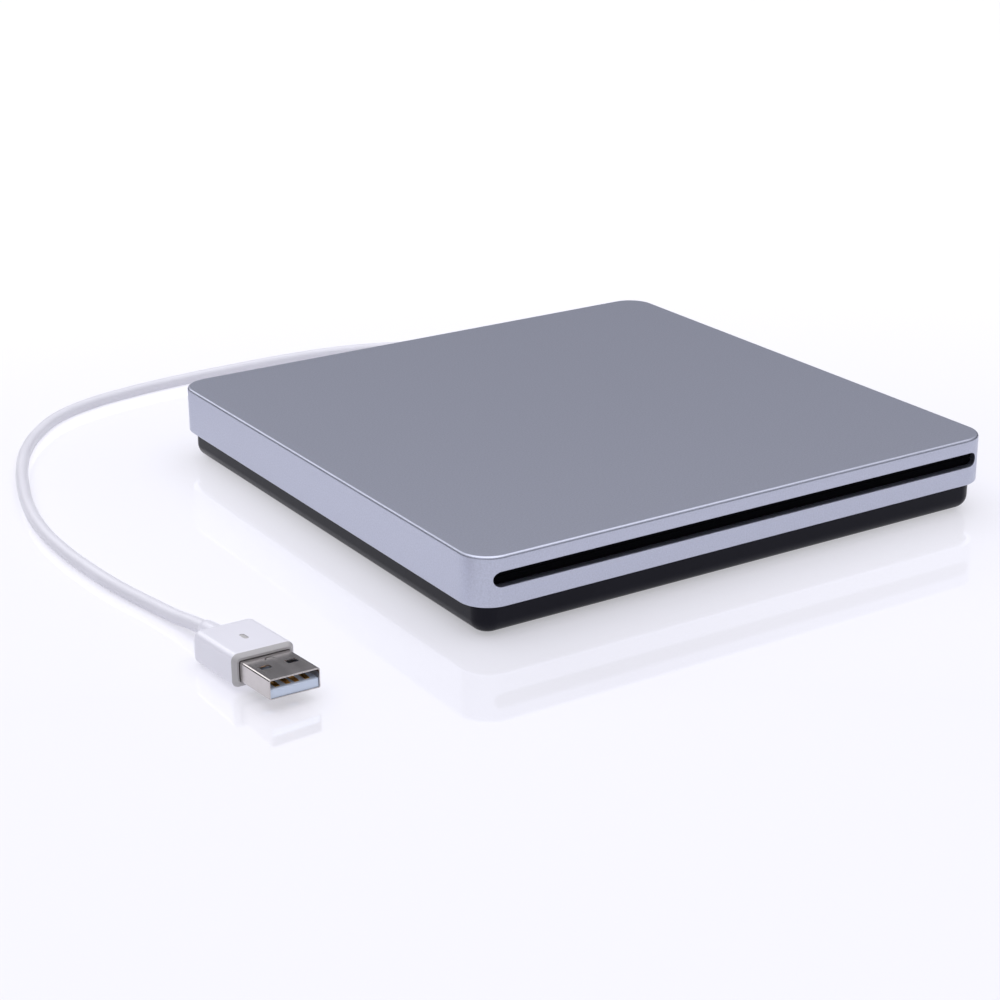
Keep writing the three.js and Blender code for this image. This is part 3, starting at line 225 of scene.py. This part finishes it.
def node_material(name, color, roughness, metallic=0.0, **sockets):
    """A Principled material; extra sockets are given by name with underscores for spaces."""
    material = bpy.data.materials.new(name)
    material.use_nodes = True
    shader = material.node_tree.nodes["Principled BSDF"]
    shader.inputs["Base Color"].default_value = (*color, 1)
    shader.inputs["Roughness"].default_value = roughness
    shader.inputs["Metallic"].default_value = metallic
    for socket, value in sockets.items():
        shader.inputs[socket.replace("_", " ")].default_value = value
    return material


def noise(material, scale, detail=2.0, stretch=(1, 1, 1)):
    """A noise texture in object space, in features per metre, optionally stretched."""
    tree = material.node_tree
    coordinates = tree.nodes.new("ShaderNodeTexCoord")
    mapping = tree.nodes.new("ShaderNodeMapping")
    mapping.inputs["Scale"].default_value = stretch
    texture = tree.nodes.new("ShaderNodeTexNoise")
    texture.inputs["Scale"].default_value = scale
    texture.inputs["Detail"].default_value = detail
    tree.links.new(coordinates.outputs["Object"], mapping.inputs["Vector"])
    tree.links.new(mapping.outputs["Vector"], texture.inputs["Vector"])
    return texture.outputs["Fac"]


def remap(material, value, start, end, low, high):
    """A node value, remapped from start..end to low..high."""
    node = material.node_tree.nodes.new("ShaderNodeMapRange")
    node.inputs["From Min"].default_value = start
    node.inputs["From Max"].default_value = end
    node.inputs["To Min"].default_value = low
    node.inputs["To Max"].default_value = high
    material.node_tree.links.new(value, node.inputs["Value"])
    return node.outputs["Result"]


def vary_color(material, fac, dark, light):
    """Base colour between dark and light, over the middle of the noise's range."""
    tree = material.node_tree
    ramp = tree.nodes.new("ShaderNodeValToRGB")
    first, last = ramp.color_ramp.elements
    first.position, last.position = NOISE_MIDDLE
    first.color = (*dark, 1)
    last.color = (*light, 1)
    tree.links.new(fac, ramp.inputs["Fac"])
    tree.links.new(ramp.outputs["Color"], tree.nodes["Principled BSDF"].inputs["Base Color"])


def vary_roughness(material, fac, low, high):
    """Roughness between low and high, over the noise's whole range, so no patch is cut off flat."""
    roughness = remap(material, fac, start=0.0, end=1.0, low=low, high=high)
    material.node_tree.links.new(roughness, material.node_tree.nodes["Principled BSDF"].inputs["Roughness"])


def bump(material, *layers):
    """Stacked bump from (noise value, height in micrometres) layers."""
    tree = material.node_tree
    last = None
    for fac, height in layers:
        node = tree.nodes.new("ShaderNodeBump")
        node.inputs["Strength"].default_value = 1.0
        node.inputs["Distance"].default_value = height * MICRON
        tree.links.new(fac, node.inputs["Height"])
        if last is not None:
            tree.links.new(last, node.inputs["Normal"])
        last = node.outputs["Normal"]
    tree.links.new(last, tree.nodes["Principled BSDF"].inputs["Normal"])


def shade(color, factor):
    return tuple(channel * factor for channel in color)


def blasted_aluminium():
    color = (0.485, 0.506, 0.60)
    material = node_material("blasted_aluminium", color, roughness=0.40, metallic=1.0)
    grain = noise(material, scale=2600, detail=3)
    fine = noise(material, scale=900)
    vary_color(material, grain, shade(color, 0.93), shade(color, 1.07))
    vary_roughness(material, fine, 0.38, 0.42)
    bump(material, (grain, 12), (fine, 8))
    return material


def moulded_plastic(name, color, roughness, grain_scale=1500, grain_height=10, contrast=0.08, **sockets):
    """Fine moulded grain over slow clouds of colour and height."""
    material = node_material(name, color, roughness, **sockets)
    grain = noise(material, grain_scale, detail=3)
    cloud = noise(material, scale=60, detail=3)
    vary_color(material, cloud, shade(color, 1 - contrast), shade(color, 1 + contrast))
    vary_roughness(material, grain, roughness * 0.88, min(1.0, roughness * 1.14))
    bump(material, (grain, grain_height), (cloud, 20))
    return material


def drawn_metal(name, color, roughness, stretch):
    """Plated or rolled metal with fine drawing lines along one direction."""
    material = node_material(name, color, roughness, metallic=1.0)
    lines = noise(material, scale=900, detail=4, stretch=stretch)
    cloud = noise(material, scale=120, detail=3)
    vary_color(material, cloud, shade(color, 0.9), shade(color, 1.1))
    vary_roughness(material, lines, roughness * 0.75, roughness * 1.3)
    bump(material, (lines, 4))
    return material


def felt_pile():
    color = (0.0025, 0.0025, 0.0035)
    material = node_material("felt_pile", color, roughness=0.95, Specular_IOR_Level=0.05)
    fibres = noise(material, scale=2600, detail=5, stretch=(1, 1, 4))
    vary_color(material, fibres, shade(color, 0.4), shade(color, 1.9))
    bump(material, (fibres, 200))
    return material


def circuit_board():
    """Solder mask with copper runs showing through as paler, slightly raised lines."""
    material = node_material("circuit_board", (0.015, 0.10, 0.05), roughness=0.35, Coat_Weight=0.3)
    tree = material.node_tree
    coordinates = tree.nodes.new("ShaderNodeTexCoord")
    bricks = tree.nodes.new("ShaderNodeTexBrick")
    bricks.inputs["Scale"].default_value = 260
    bricks.inputs["Color1"].default_value = (0.010, 0.075, 0.035, 1)
    bricks.inputs["Color2"].default_value = (0.020, 0.115, 0.060, 1)
    bricks.inputs["Mortar"].default_value = (0.045, 0.19, 0.09, 1)
    bricks.inputs["Mortar Size"].default_value = 0.03
    tree.links.new(coordinates.outputs["Object"], bricks.inputs["Vector"])
    tree.links.new(bricks.outputs["Color"], tree.nodes["Principled BSDF"].inputs["Base Color"])
    bump(material, (bricks.outputs["Fac"], 30), (noise(material, scale=800), 10))
    return material


def lens_glass():
    color = (0.10, 0.14, 0.32)
    material = node_material("lens_glass", color, roughness=0.05, Coat_Weight=1.0, Specular_IOR_Level=0.8)
    vary_color(material, noise(material, scale=260, detail=1), (0.07, 0.10, 0.30), (0.16, 0.14, 0.36))
    vary_roughness(material, noise(material, scale=1800), 0.03, 0.08)
    return material


ALUMINIUM = blasted_aluminium()
BLACK = moulded_plastic(
    "black_plastic", (0.006, 0.006, 0.0095), roughness=0.30, grain_scale=1900, contrast=0.12,
    Specular_IOR_Level=0.13, Specular_Tint=(0.85, 0.85, 1, 1),
)
RUBBER = moulded_plastic(
    "rubber", (0.012, 0.012, 0.013), roughness=0.8, grain_scale=1300, grain_height=40, contrast=0.2,
)
WHITE = moulded_plastic(
    "white_plastic", (0.77, 0.765, 0.83), roughness=0.30, grain_scale=250, grain_height=3, contrast=0.015,
    Coat_Weight=0.15,
)
CORD_WHITE = moulded_plastic(
    "cord_white", (0.72, 0.715, 0.77), roughness=0.38, grain_scale=700, grain_height=20, contrast=0.02,
)
# Painted shade: the lip is the grip's own white plastic, painted grey for the shade it sits in; the groove
# gets the same grey as a mark.
LIP_SHADE_AND_MARK_GREY = moulded_plastic("lip_shade_and_mark_grey", (0.43, 0.42, 0.425), roughness=0.45, grain_scale=900, contrast=0.04)
TONGUE = moulded_plastic("tongue_plastic", (0.62, 0.70, 0.84), roughness=0.4, grain_scale=900, contrast=0.03)
CHIP_BLACK = moulded_plastic(
    "chip_black", (0.012, 0.012, 0.013), roughness=0.5, grain_scale=2400, grain_height=20,
)
NICKEL = drawn_metal("nickel_shell", (0.58, 0.55, 0.54), roughness=0.22, stretch=(1, 0.05, 1))
GOLD = drawn_metal("gold_contact", (0.78, 0.42, 0.09), roughness=0.25, stretch=(1, 0.08, 1))
MATERIALS = {
    "aluminium": ALUMINIUM,
    "black_plastic": BLACK,
    "rubber": RUBBER,
    "felt": felt_pile(),
    "steel": drawn_metal("steel", (0.52, 0.53, 0.55), roughness=0.32, stretch=(1, 0.1, 1)),
    "plated_sheet": drawn_metal("plated_sheet", (0.60, 0.61, 0.62), roughness=0.36, stretch=(0.06, 1, 1)),
    "grey_plastic": moulded_plastic("grey_plastic", (0.050, 0.052, 0.060), roughness=0.5),
    "natural_plastic": moulded_plastic("natural_plastic", (0.66, 0.63, 0.56), roughness=0.42),
    "white_plastic": WHITE,
    "circuit_board": circuit_board(),
    "chip_black": CHIP_BLACK,
    "lens_glass": lens_glass(),
    "gold_contact": GOLD,
}


# ---------------------------------------------------------------- mesh helpers

MERGE_DISTANCE = 1e-5
SHARP_ANGLE = math.radians(32)


def ring(half_x, half_y, radius, level, steps=12):
    """Rounded rectangle of points in a plane of constant level, counter-clockwise."""
    points = []
    for quadrant in range(4):
        centre_x = (half_x - radius) * (1 if quadrant in (0, 3) else -1)
        centre_y = (half_y - radius) * (1 if quadrant < 2 else -1)
        for step in range(steps + 1):
            angle = (quadrant + step / steps) * math.pi / 2
            points.append((centre_x + radius * math.cos(angle), centre_y + radius * math.sin(angle), level))
    return points


def square_ring(half, radius, level, steps=12):
    """A ring with equal sides."""
    return ring(half, half, radius, level, steps)


def loft_into(mesh, rings):
    """Adds a skin over the rings, lowest first, to a bmesh, closed at both ends."""
    levels = [[mesh.verts.new(point) for point in points] for points in rings]
    count = len(levels[0])
    for lower, upper in zip(levels, levels[1:]):
        for i in range(count):
            j = (i + 1) % count
            mesh.faces.new((lower[i], lower[j], upper[j], upper[i]))
    mesh.faces.new(list(reversed(levels[0])))
    mesh.faces.new(levels[-1])


def smooth(data):
    """Smooth shading that stays sharp along the edges."""
    data.shade_smooth()
    data.set_sharp_from_angle(angle=SHARP_ANGLE)


def lofted(name, rings, material, turn=None, place=(0, 0, 0)):
    """A skin over rings drawn in millimetres, as an object turned and placed in the object's frame."""
    mesh = bmesh.new()
    loft_into(mesh, rings)
    bmesh.ops.remove_doubles(mesh, verts=mesh.verts, dist=MERGE_DISTANCE)
    bmesh.ops.recalc_face_normals(mesh, faces=mesh.faces)
    move = Matrix.Translation(Vector(place) * MM)
    mesh.transform(move @ (turn or Matrix.Identity(4)) @ Matrix.Scale(MM, 4))
    data = bpy.data.meshes.new(name)
    mesh.to_mesh(data)
    mesh.free()
    data.materials.append(material)
    smooth(data)
    thing = bpy.data.objects.new(name, data)
    scene.collection.objects.link(thing)
    return thing


def turned_rings(profile, segments):
    """Circles of [radius, level] pairs that a loft can skin."""
    rings = []
    for radius, level in profile:
        angles = [2 * math.pi * i / segments for i in range(segments)]
        rings.append([(radius * math.cos(a), radius * math.sin(a), level) for a in angles])
    return rings


def rod_rings(size, segments=32):
    return turned_rings([(size["radius"], size["low"]), (size["radius"], size["high"])], segments)


def rod(name, x, y, size, material, segments=32):
    return lofted(name, rod_rings(size, segments), material, place=(x, y, 0))


def boolean(target, tools, operation):
    """Cuts or joins the tools with the target's mesh, and removes the tools."""
    for tool in tools:
        modifier = target.modifiers.new("boolean", "BOOLEAN")
        modifier.operation = operation
        modifier.solver = "EXACT"
        modifier.object = tool
    bpy.context.view_layer.update()
    evaluated = target.evaluated_get(bpy.context.evaluated_depsgraph_get())
    data = bpy.data.meshes.new_from_object(evaluated)
    target.modifiers.clear()
    target.data = data
    for tool in tools:
        bpy.data.objects.remove(tool)
    smooth(data)


def settle(thing, *nodes, slot):
    """Even shading on flat faces, then the piece rides the case and stands for its CAD nodes."""
    weighting = thing.modifiers.new("weighted_normals", "WEIGHTED_NORMAL")
    weighting.keep_sharp = True
    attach(thing, "case")
    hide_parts(*nodes)


CORNERS = {"front_left": (-1, -1), "front_right": (1, -1), "rear_left": (-1, 1), "rear_right": (1, 1)}
ALONG_Y = Matrix.Rotation(-math.pi / 2, 4, "X")


# ---------------------------------------------------------------- cord

def make_cord():
    curve = bpy.data.curves.new("cord_cable", "CURVE")
    curve.dimensions = "3D"
    curve.resolution_u = 12
    curve.bevel_depth = CORD_DIAMETER / 2
    curve.bevel_resolution = 6
    curve.use_fill_caps = True
    spline = curve.splines.new("BEZIER")
    spline.bezier_points.add(len(CORD_ROUTE) - 1)
    for point, (x, y, z) in zip(spline.bezier_points, CORD_ROUTE):
        point.co = (x * MM, y * MM, z * MM)
        point.handle_left_type = point.handle_right_type = "AUTO"
    curve.materials.append(CORD_WHITE)
    cord = bpy.data.objects.new("cord_cable", curve)
    scene.collection.objects.link(cord)
    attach(cord, "case")
    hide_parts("cord")
    return cord


cord_cable = make_cord()


# ---------------------------------------------------------------- case

EDGE_CORNER_STEPS = 20


def rounded_edge(half, corner, level, radius, rising, steps):
    """Rings that round over a slab's edge: rising towards its top, or starting from its bottom."""
    rings = []
    for i in range(steps + 1):
        angle = math.pi / 2 * (i / steps)
        inset = radius * (1 - math.cos(angle) if rising else 1 - math.sin(angle))
        height = radius * (math.sin(angle) if rising else 1 - math.cos(angle))
        z = level - radius + height if rising else level + height
        rings.append(square_ring(half - inset, corner - inset, z, EDGE_CORNER_STEPS))
    return rings


def make_slot_tool():
    """A round-ended bar through the cover's front wall, flared at its mouth."""
    mouth = [
        (SLOT_FLARE, -CASE_HALF - SLOT_FLARE),
        (0, -CASE_HALF + SLOT_FLARE_DEPTH),
        (0, -COVER_INNER_HALF + PAST),
    ]
    rings = []
    for flare, y in mouth:
        half_length, half_height = SLOT_HALF_LENGTH + flare, SLOT_HALF_HEIGHT + flare
        rings.append(ring(half_length, half_height, half_height - ROUND_END_GAP, y))
    return lofted("slot_tool", rings, ALUMINIUM, turn=ALONG_Y, place=(0, 0, SLOT_Z))


def make_cover():
    outside = rounded_edge(CASE_HALF, COVER_CORNER, COVER_BOTTOM, COVER_LOWER_EDGE, rising=False, steps=3)
    outside += rounded_edge(CASE_HALF, COVER_CORNER, CASE_TOP, COVER_UPPER_EDGE, rising=True, steps=6)
    cover = lofted("cover_shell", outside, ALUMINIUM)
    levels = (COVER_BOTTOM - PAST, COVER_CEILING)
    hollow = [square_ring(COVER_INNER_HALF, COVER_INNER_CORNER, z) for z in levels]
    cavity = lofted("cavity", hollow, ALUMINIUM)
    boolean(cover, [cavity, make_slot_tool()], "DIFFERENCE")
    for side_x, side_y in CORNERS.values():
        boss = rod("boss", side_x * POST_X, side_y * POST_Y, BOSS, ALUMINIUM)
        hole = rod("hole", side_x * POST_X, side_y * POST_Y, THREAD, ALUMINIUM, segments=20)
        boolean(boss, [hole], "DIFFERENCE")
        boolean(cover, [boss], "UNION")
    settle(cover, "top_cover", "slot_sill", slot="aluminium")


def make_drive_pad(side_x, side_y):
    """A raised pad on the tray's floor that the drive's chassis stands on."""
    x, y = side_x * DRIVE_PAD["x"], side_y * DRIVE_PAD["y"]
    x0, x1 = x - DRIVE_PAD["half_x"], x + DRIVE_PAD["half_x"]
    y0, y1 = y - DRIVE_PAD["half_y"], y + DRIVE_PAD["half_y"]
    levels = (TRAY_FLOOR - EMBED, DRIVE_PAD["top"])
    return lofted("pad", [[(x0, y0, z), (x1, y0, z), (x1, y1, z), (x0, y1, z)] for z in levels], BLACK)


def make_tray():
    outside = rounded_edge(TRAY_HALF, TRAY_CORNER, TRAY_BOTTOM, TRAY_LOWER_EDGE, rising=False, steps=10)
    for inset in (0, TRAY_TOP_EDGE):
        level = TRAY_TOP - TRAY_TOP_EDGE + inset
        outside.append(square_ring(TRAY_HALF - inset, TRAY_CORNER - inset, level, EDGE_CORNER_STEPS))
    tray = lofted("tray_shell", outside, BLACK)
    hollow = [
        square_ring(TRAY_INNER_HALF_LOW, TRAY_INNER_CORNER_LOW, TRAY_FLOOR),
        square_ring(TRAY_INNER_HALF, TRAY_INNER_CORNER, TRAY_INNER_UPRIGHT),
        square_ring(TRAY_INNER_HALF, TRAY_INNER_CORNER, TRAY_TOP + PAST),
    ]
    inside = lofted("inside", hollow, BLACK)
    outlet = lofted("outlet", rod_rings(OUTLET), BLACK, turn=ALONG_Y, place=OUTLET_PLACE)
    boolean(tray, [inside, outlet], "DIFFERENCE")
    for side_x, side_y in CORNERS.values():
        x, y = side_x * POST_X, side_y * POST_Y
        post = rod("post", x, y, POST, BLACK)
        boolean(tray, [post, make_drive_pad(side_x, side_y)], "UNION")
        counterbore = rod("counterbore", x, y, COUNTERBORE, BLACK)
        shank_hole = rod("shank_hole", x, y, SHANK_HOLE, BLACK, segments=20)
        pocket = rod("pocket", side_x * FOOT_AT, side_y * FOOT_AT, FOOT_POCKET, BLACK, segments=64)
        boolean(tray, [counterbore, shank_hole, pocket], "DIFFERENCE")
    boolean(tray, [rod("standoff", x, STANDOFF_Y, STANDOFF, BLACK) for x in STANDOFF_XS], "UNION")
    settle(tray, "base_tray", slot="black_plastic")


def make_feet():
    for corner, (side_x, side_y) in CORNERS.items():
        rings = turned_rings(FOOT_PROFILE, segments=64)
        foot = lofted(f"rubber_foot_{corner}", rings, RUBBER, place=(side_x * FOOT_AT, side_y * FOOT_AT, 0))
        settle(foot, f"foot_{corner}", slot="rubber")


def make_strain_relief():
    """A flange at the case's wall and a row of ribs that taper towards the cord."""
    profile = list(RELIEF_FLANGE)
    for rib in range(RIBS["count"]):
        start = RIBS["spacing"] * rib
        radius = RIBS["radius"] - RIBS["taper"] * start
        profile += [(radius + change, RIBS["first"] + start + along) for change, along in RIB_STEPS]
    profile += RELIEF_TIP
    rings = turned_rings(profile, segments=40)
    relief = lofted("cord_strain_relief", rings, WHITE, turn=ALONG_Y, place=OUTLET_PLACE)
    settle(relief, "strain_relief", slot="white_plastic")
    return relief


# ---------------------------------------------------------------- plug

def on_plug(name, rings, material):
    """A plug piece lofted along its length, from the mouth towards the cord."""
    return lofted(name, rings, material, turn=PLUG_TURN @ ALONG_Y, place=PLUG_PLACE)


def plug_section(x0, x1, z0, z1, y):
    """The rectangle that a bar along the plug has at y."""
    return [(x0, -z1, y), (x1, -z1, y), (x1, -z0, y), (x0, -z0, y)]


def in_groove(point):
    """Whether a point of the plug's frame lies on the groove's floor or wall."""
    across = abs(point.x) < GROOVE["half_width"] + GROOVE_MARGIN
    along = abs(point.y - GROOVE["y"]) < GROOVE["half_length"] + GROOVE_MARGIN
    sunk = GROOVE_MARGIN < GRIP_TOP - point.z < GROOVE["depth"] + GROOVE_MARGIN
    return across and along and sunk


def make_recess_tool():
    """The hole in the lip that the metal shell comes out of, a little wider behind than in front."""
    rings = []
    for y, gap, corner in RECESS_SECTIONS:
        rings.append(ring(SHELL_HALF_WIDTH + gap, SHELL_HALF_HEIGHT + gap, corner, y, steps=6))
    return on_plug("recess", rings, LIP_SHADE_AND_MARK_GREY)


def make_groove_tool():
    """A round-ended bar that cuts the short groove into the grip's top."""
    half_width, half_length = GROOVE["half_width"], GROOVE["half_length"]
    rings = []
    for level in (GRIP_TOP - GROOVE["depth"], GRIP_TOP + PAST):
        outline = ring(half_width, half_length, half_width - ROUND_END_GAP, level, steps=8)
        rings.append([(x, y + GROOVE["y"], z) for x, y, z in outline])
    return lofted("groove", rings, WHITE, turn=PLUG_TURN, place=PLUG_PLACE)


def make_grip():
    """White grip with its lip painted grey as shade and a short groove in the same grey as a mark, hollowed
    for the shell and the cord.
    """
    rings = [ring(half_x, half_z, radius, y) for y, half_x, half_z, radius in GRIP_SECTIONS]
    grip = on_plug("grip", rings, WHITE)
    grip.data.materials.append(LIP_SHADE_AND_MARK_GREY)
    grey = len(grip.data.materials) - 1
    socket = on_plug("socket", rod_rings(CORD_SOCKET), WHITE)
    boolean(grip, [make_recess_tool(), make_groove_tool(), socket], "DIFFERENCE")
    to_plug = (Matrix.Translation(Vector(PLUG_PLACE) * MM) @ PLUG_TURN).inverted()
    # The lip's faces take the grey that paints its shade; the groove's faces take the same grey as a mark.
    for face in grip.data.polygons:
        centre = (to_plug @ face.center) / MM
        if centre.y < LIP_END or in_groove(centre):
            face.material_index = grey
    settle(grip, "plug_body", slot="white_plastic")
    return grip


def shell_rings(sections):
    """Sections of the shell, each set in from its outside."""
    return [
        ring(SHELL_HALF_WIDTH - inset, SHELL_HALF_HEIGHT - inset, corner, y, steps=8)
        for y, inset, corner in sections
    ]


def make_spring_tool():
    """A half-moon arc through the shell's top, for the cut of its spring."""
    arc = [math.pi * i / ARC_STEPS for i in range(ARC_STEPS + 1)]
    outline = []
    for radius, angles in ((SPRING_CUT["outer"], arc), (SPRING_CUT["inner"], reversed(arc))):
        outline += [(radius * math.cos(a), SPRING_CUT["y"] + radius * math.sin(a)) for a in angles]
    rings = [[(x, y, z) for x, y in outline] for z in (SPRING_CUT["low"], SPRING_CUT["high"])]
    return lofted("spring_cut", rings, NICKEL, turn=PLUG_TURN, place=PLUG_PLACE)


def make_plug_shell():
    shell = on_plug("metal_shell", shell_rings(SHELL_SECTIONS), NICKEL)
    tools = [on_plug("bore", shell_rings(BORE_SECTIONS), NICKEL)]
    top = SHELL_HALF_HEIGHT + PAST
    for x in (-WINDOW["x"], WINDOW["x"]):
        x0, x1 = x - WINDOW["half"], x + WINDOW["half"]
        rings = [plug_section(x0, x1, -top, top, y) for y in (WINDOW["y0"], WINDOW["y1"])]
        tools.append(on_plug("window", rings, NICKEL))
    boolean(shell, tools, "DIFFERENCE")
    boolean(shell, [make_spring_tool()], "DIFFERENCE")
    settle(shell, "plug_shell", slot="steel")
    return shell


def make_tongue_and_contacts():
    """The plastic blade with a chamfered nose, and sprung contacts that curve down at the tip."""
    rings = [plug_section(-half, half, z0, z1, y) for y, half, z0, z1 in TONGUE_SECTIONS]
    tongue = on_plug("plug_blade", rings, TONGUE)
    settle(tongue, "plug_tongue", slot="white_plastic")
    pieces = [tongue]
    for number, x in enumerate(CONTACT_XS, start=1):
        x0, x1 = x - CONTACT_HALF, x + CONTACT_HALF
        rings = [plug_section(x0, x1, z0, z1, y) for y, z0, z1 in CONTACT_SECTIONS]
        contact = on_plug(f"blade_contact_{number}", rings, GOLD)
        settle(contact, f"plug_contact_{number}", slot="gold_contact")
        pieces.append(contact)
    return pieces


# ---------------------------------------------------------------- carried-over CAD nodes

NODE_SHARP_ANGLE = math.radians(35)
THINNEST_BEVELLED = 0.9 * MM
BEVEL_WIDTH = 0.08 * MM
BEVEL_ANGLE = math.radians(45)


def dress_cad_nodes():
    """Every CAD node that still shows gets its own finish and even shading; those thicker than
    THINNEST_BEVELLED also get rounded edges.
    """
    slots = {entry["node"]: entry["material_slot"] for entry in frame["record"]["subparts"]}
    for name, node in frame["nodes"].items():
        if node.hide_render:
            continue
        data = node.data
        data.materials.clear()
        data.materials.append(MATERIALS[slots[name]])
        data.normals_split_custom_set([(0, 0, 0)] * len(data.loops))
        data.shade_smooth()
        data.set_sharp_from_angle(angle=NODE_SHARP_ANGLE)
        low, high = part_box(name)
        if min(high - low) > THINNEST_BEVELLED:
            bevel = node.modifiers.new("edge", "BEVEL")
            bevel.width = BEVEL_WIDTH
            bevel.segments = 2
            bevel.limit_method = "ANGLE"
            bevel.angle_limit = BEVEL_ANGLE
        node.modifiers.new("weighted_normals", "WEIGHTED_NORMAL").keep_sharp = True


make_cover()
make_tray()
make_feet()
relief = make_strain_relief()
grip = make_grip()
shell = make_plug_shell()
plug_insides = make_tongue_and_contacts()
dress_cad_nodes()


# ---------------------------------------------------------------- studio

FLOOR_HALF = 1.6

# Colours of the surround, by the sine of the height above the horizon.
WORLD_BANDS = [
    (0.00, (0.045, 0.046, 0.056)),
    (0.33, (0.045, 0.046, 0.056)),
    (0.43, (0.600, 0.600, 0.636)),
    (0.72, (0.600, 0.600, 0.636)),
    (0.80, (2.000, 2.000, 2.080)),
    (1.00, (2.000, 2.000, 2.080)),
]


def white_table():
    """Glossy white with a faint glow, stronger where it mirrors the surround's dark low band."""
    color = (0.48, 0.477, 0.52)
    material = node_material("white_table", color, 0.06, IOR=2.3, Emission_Color=(0.96, 0.955, 1, 1))
    tree = material.node_tree
    grazing = tree.nodes.new("ShaderNodeLayerWeight").outputs["Facing"]
    glow = remap(material, grazing, start=0.57, end=0.80, low=0.41, high=0.74)
    tree.links.new(glow, tree.nodes["Principled BSDF"].inputs["Emission Strength"])
    vary_roughness(material, noise(material, scale=30), 0.05, 0.07)
    return material


def make_floor():
    """A white glossy table top under the object."""
    mesh = bmesh.new()
    bmesh.ops.create_grid(mesh, x_segments=1, y_segments=1, size=FLOOR_HALF)
    data = bpy.data.meshes.new("floor")
    mesh.to_mesh(data)
    mesh.free()
    data.materials.append(white_table())
    floor = bpy.data.objects.new("floor", data)
    scene.collection.objects.link(floor)


def make_softbox(name, place, target, size, power):
    """An area light aimed at a point; the camera doesn't see the lamp itself."""
    data = bpy.data.lights.new(name, "AREA")
    data.shape = "RECTANGLE"
    data.size, data.size_y = size
    data.energy = power
    light = bpy.data.objects.new(name, data)
    light.visible_camera = False
    light.location = place
    light.rotation_mode = "QUATERNION"
    light.rotation_quaternion = (Vector(target) - Vector(place)).to_track_quat("-Z", "Y")
    scene.collection.objects.link(light)


def make_world():
    """Soft studio surround, by height above the horizon."""
    world = bpy.data.worlds.new("studio")
    world.use_nodes = True
    tree = world.node_tree
    coordinates = tree.nodes.new("ShaderNodeTexCoord")
    split = tree.nodes.new("ShaderNodeSeparateXYZ")
    ramp = tree.nodes.new("ShaderNodeValToRGB")
    elements = ramp.color_ramp.elements
    for element, (position, color) in zip(elements, (WORLD_BANDS[0], WORLD_BANDS[-1])):
        element.position = position
        element.color = (*color, 1)
    for position, color in WORLD_BANDS[1:-1]:
        elements.new(position).color = (*color, 1)
    tree.links.new(coordinates.outputs["Generated"], split.inputs["Vector"])
    tree.links.new(split.outputs["Z"], ramp.inputs["Fac"])
    tree.links.new(ramp.outputs["Color"], tree.nodes["Background"].inputs["Color"])
    scene.world = world


make_floor()
make_world()
make_softbox(
    "back_softbox", place=(-0.2, 0.85, 0.52), target=(-0.07, 0.0, 0.01), size=(0.55, 0.3), power=0.85,
)
scene.view_settings.view_transform = "Standard"
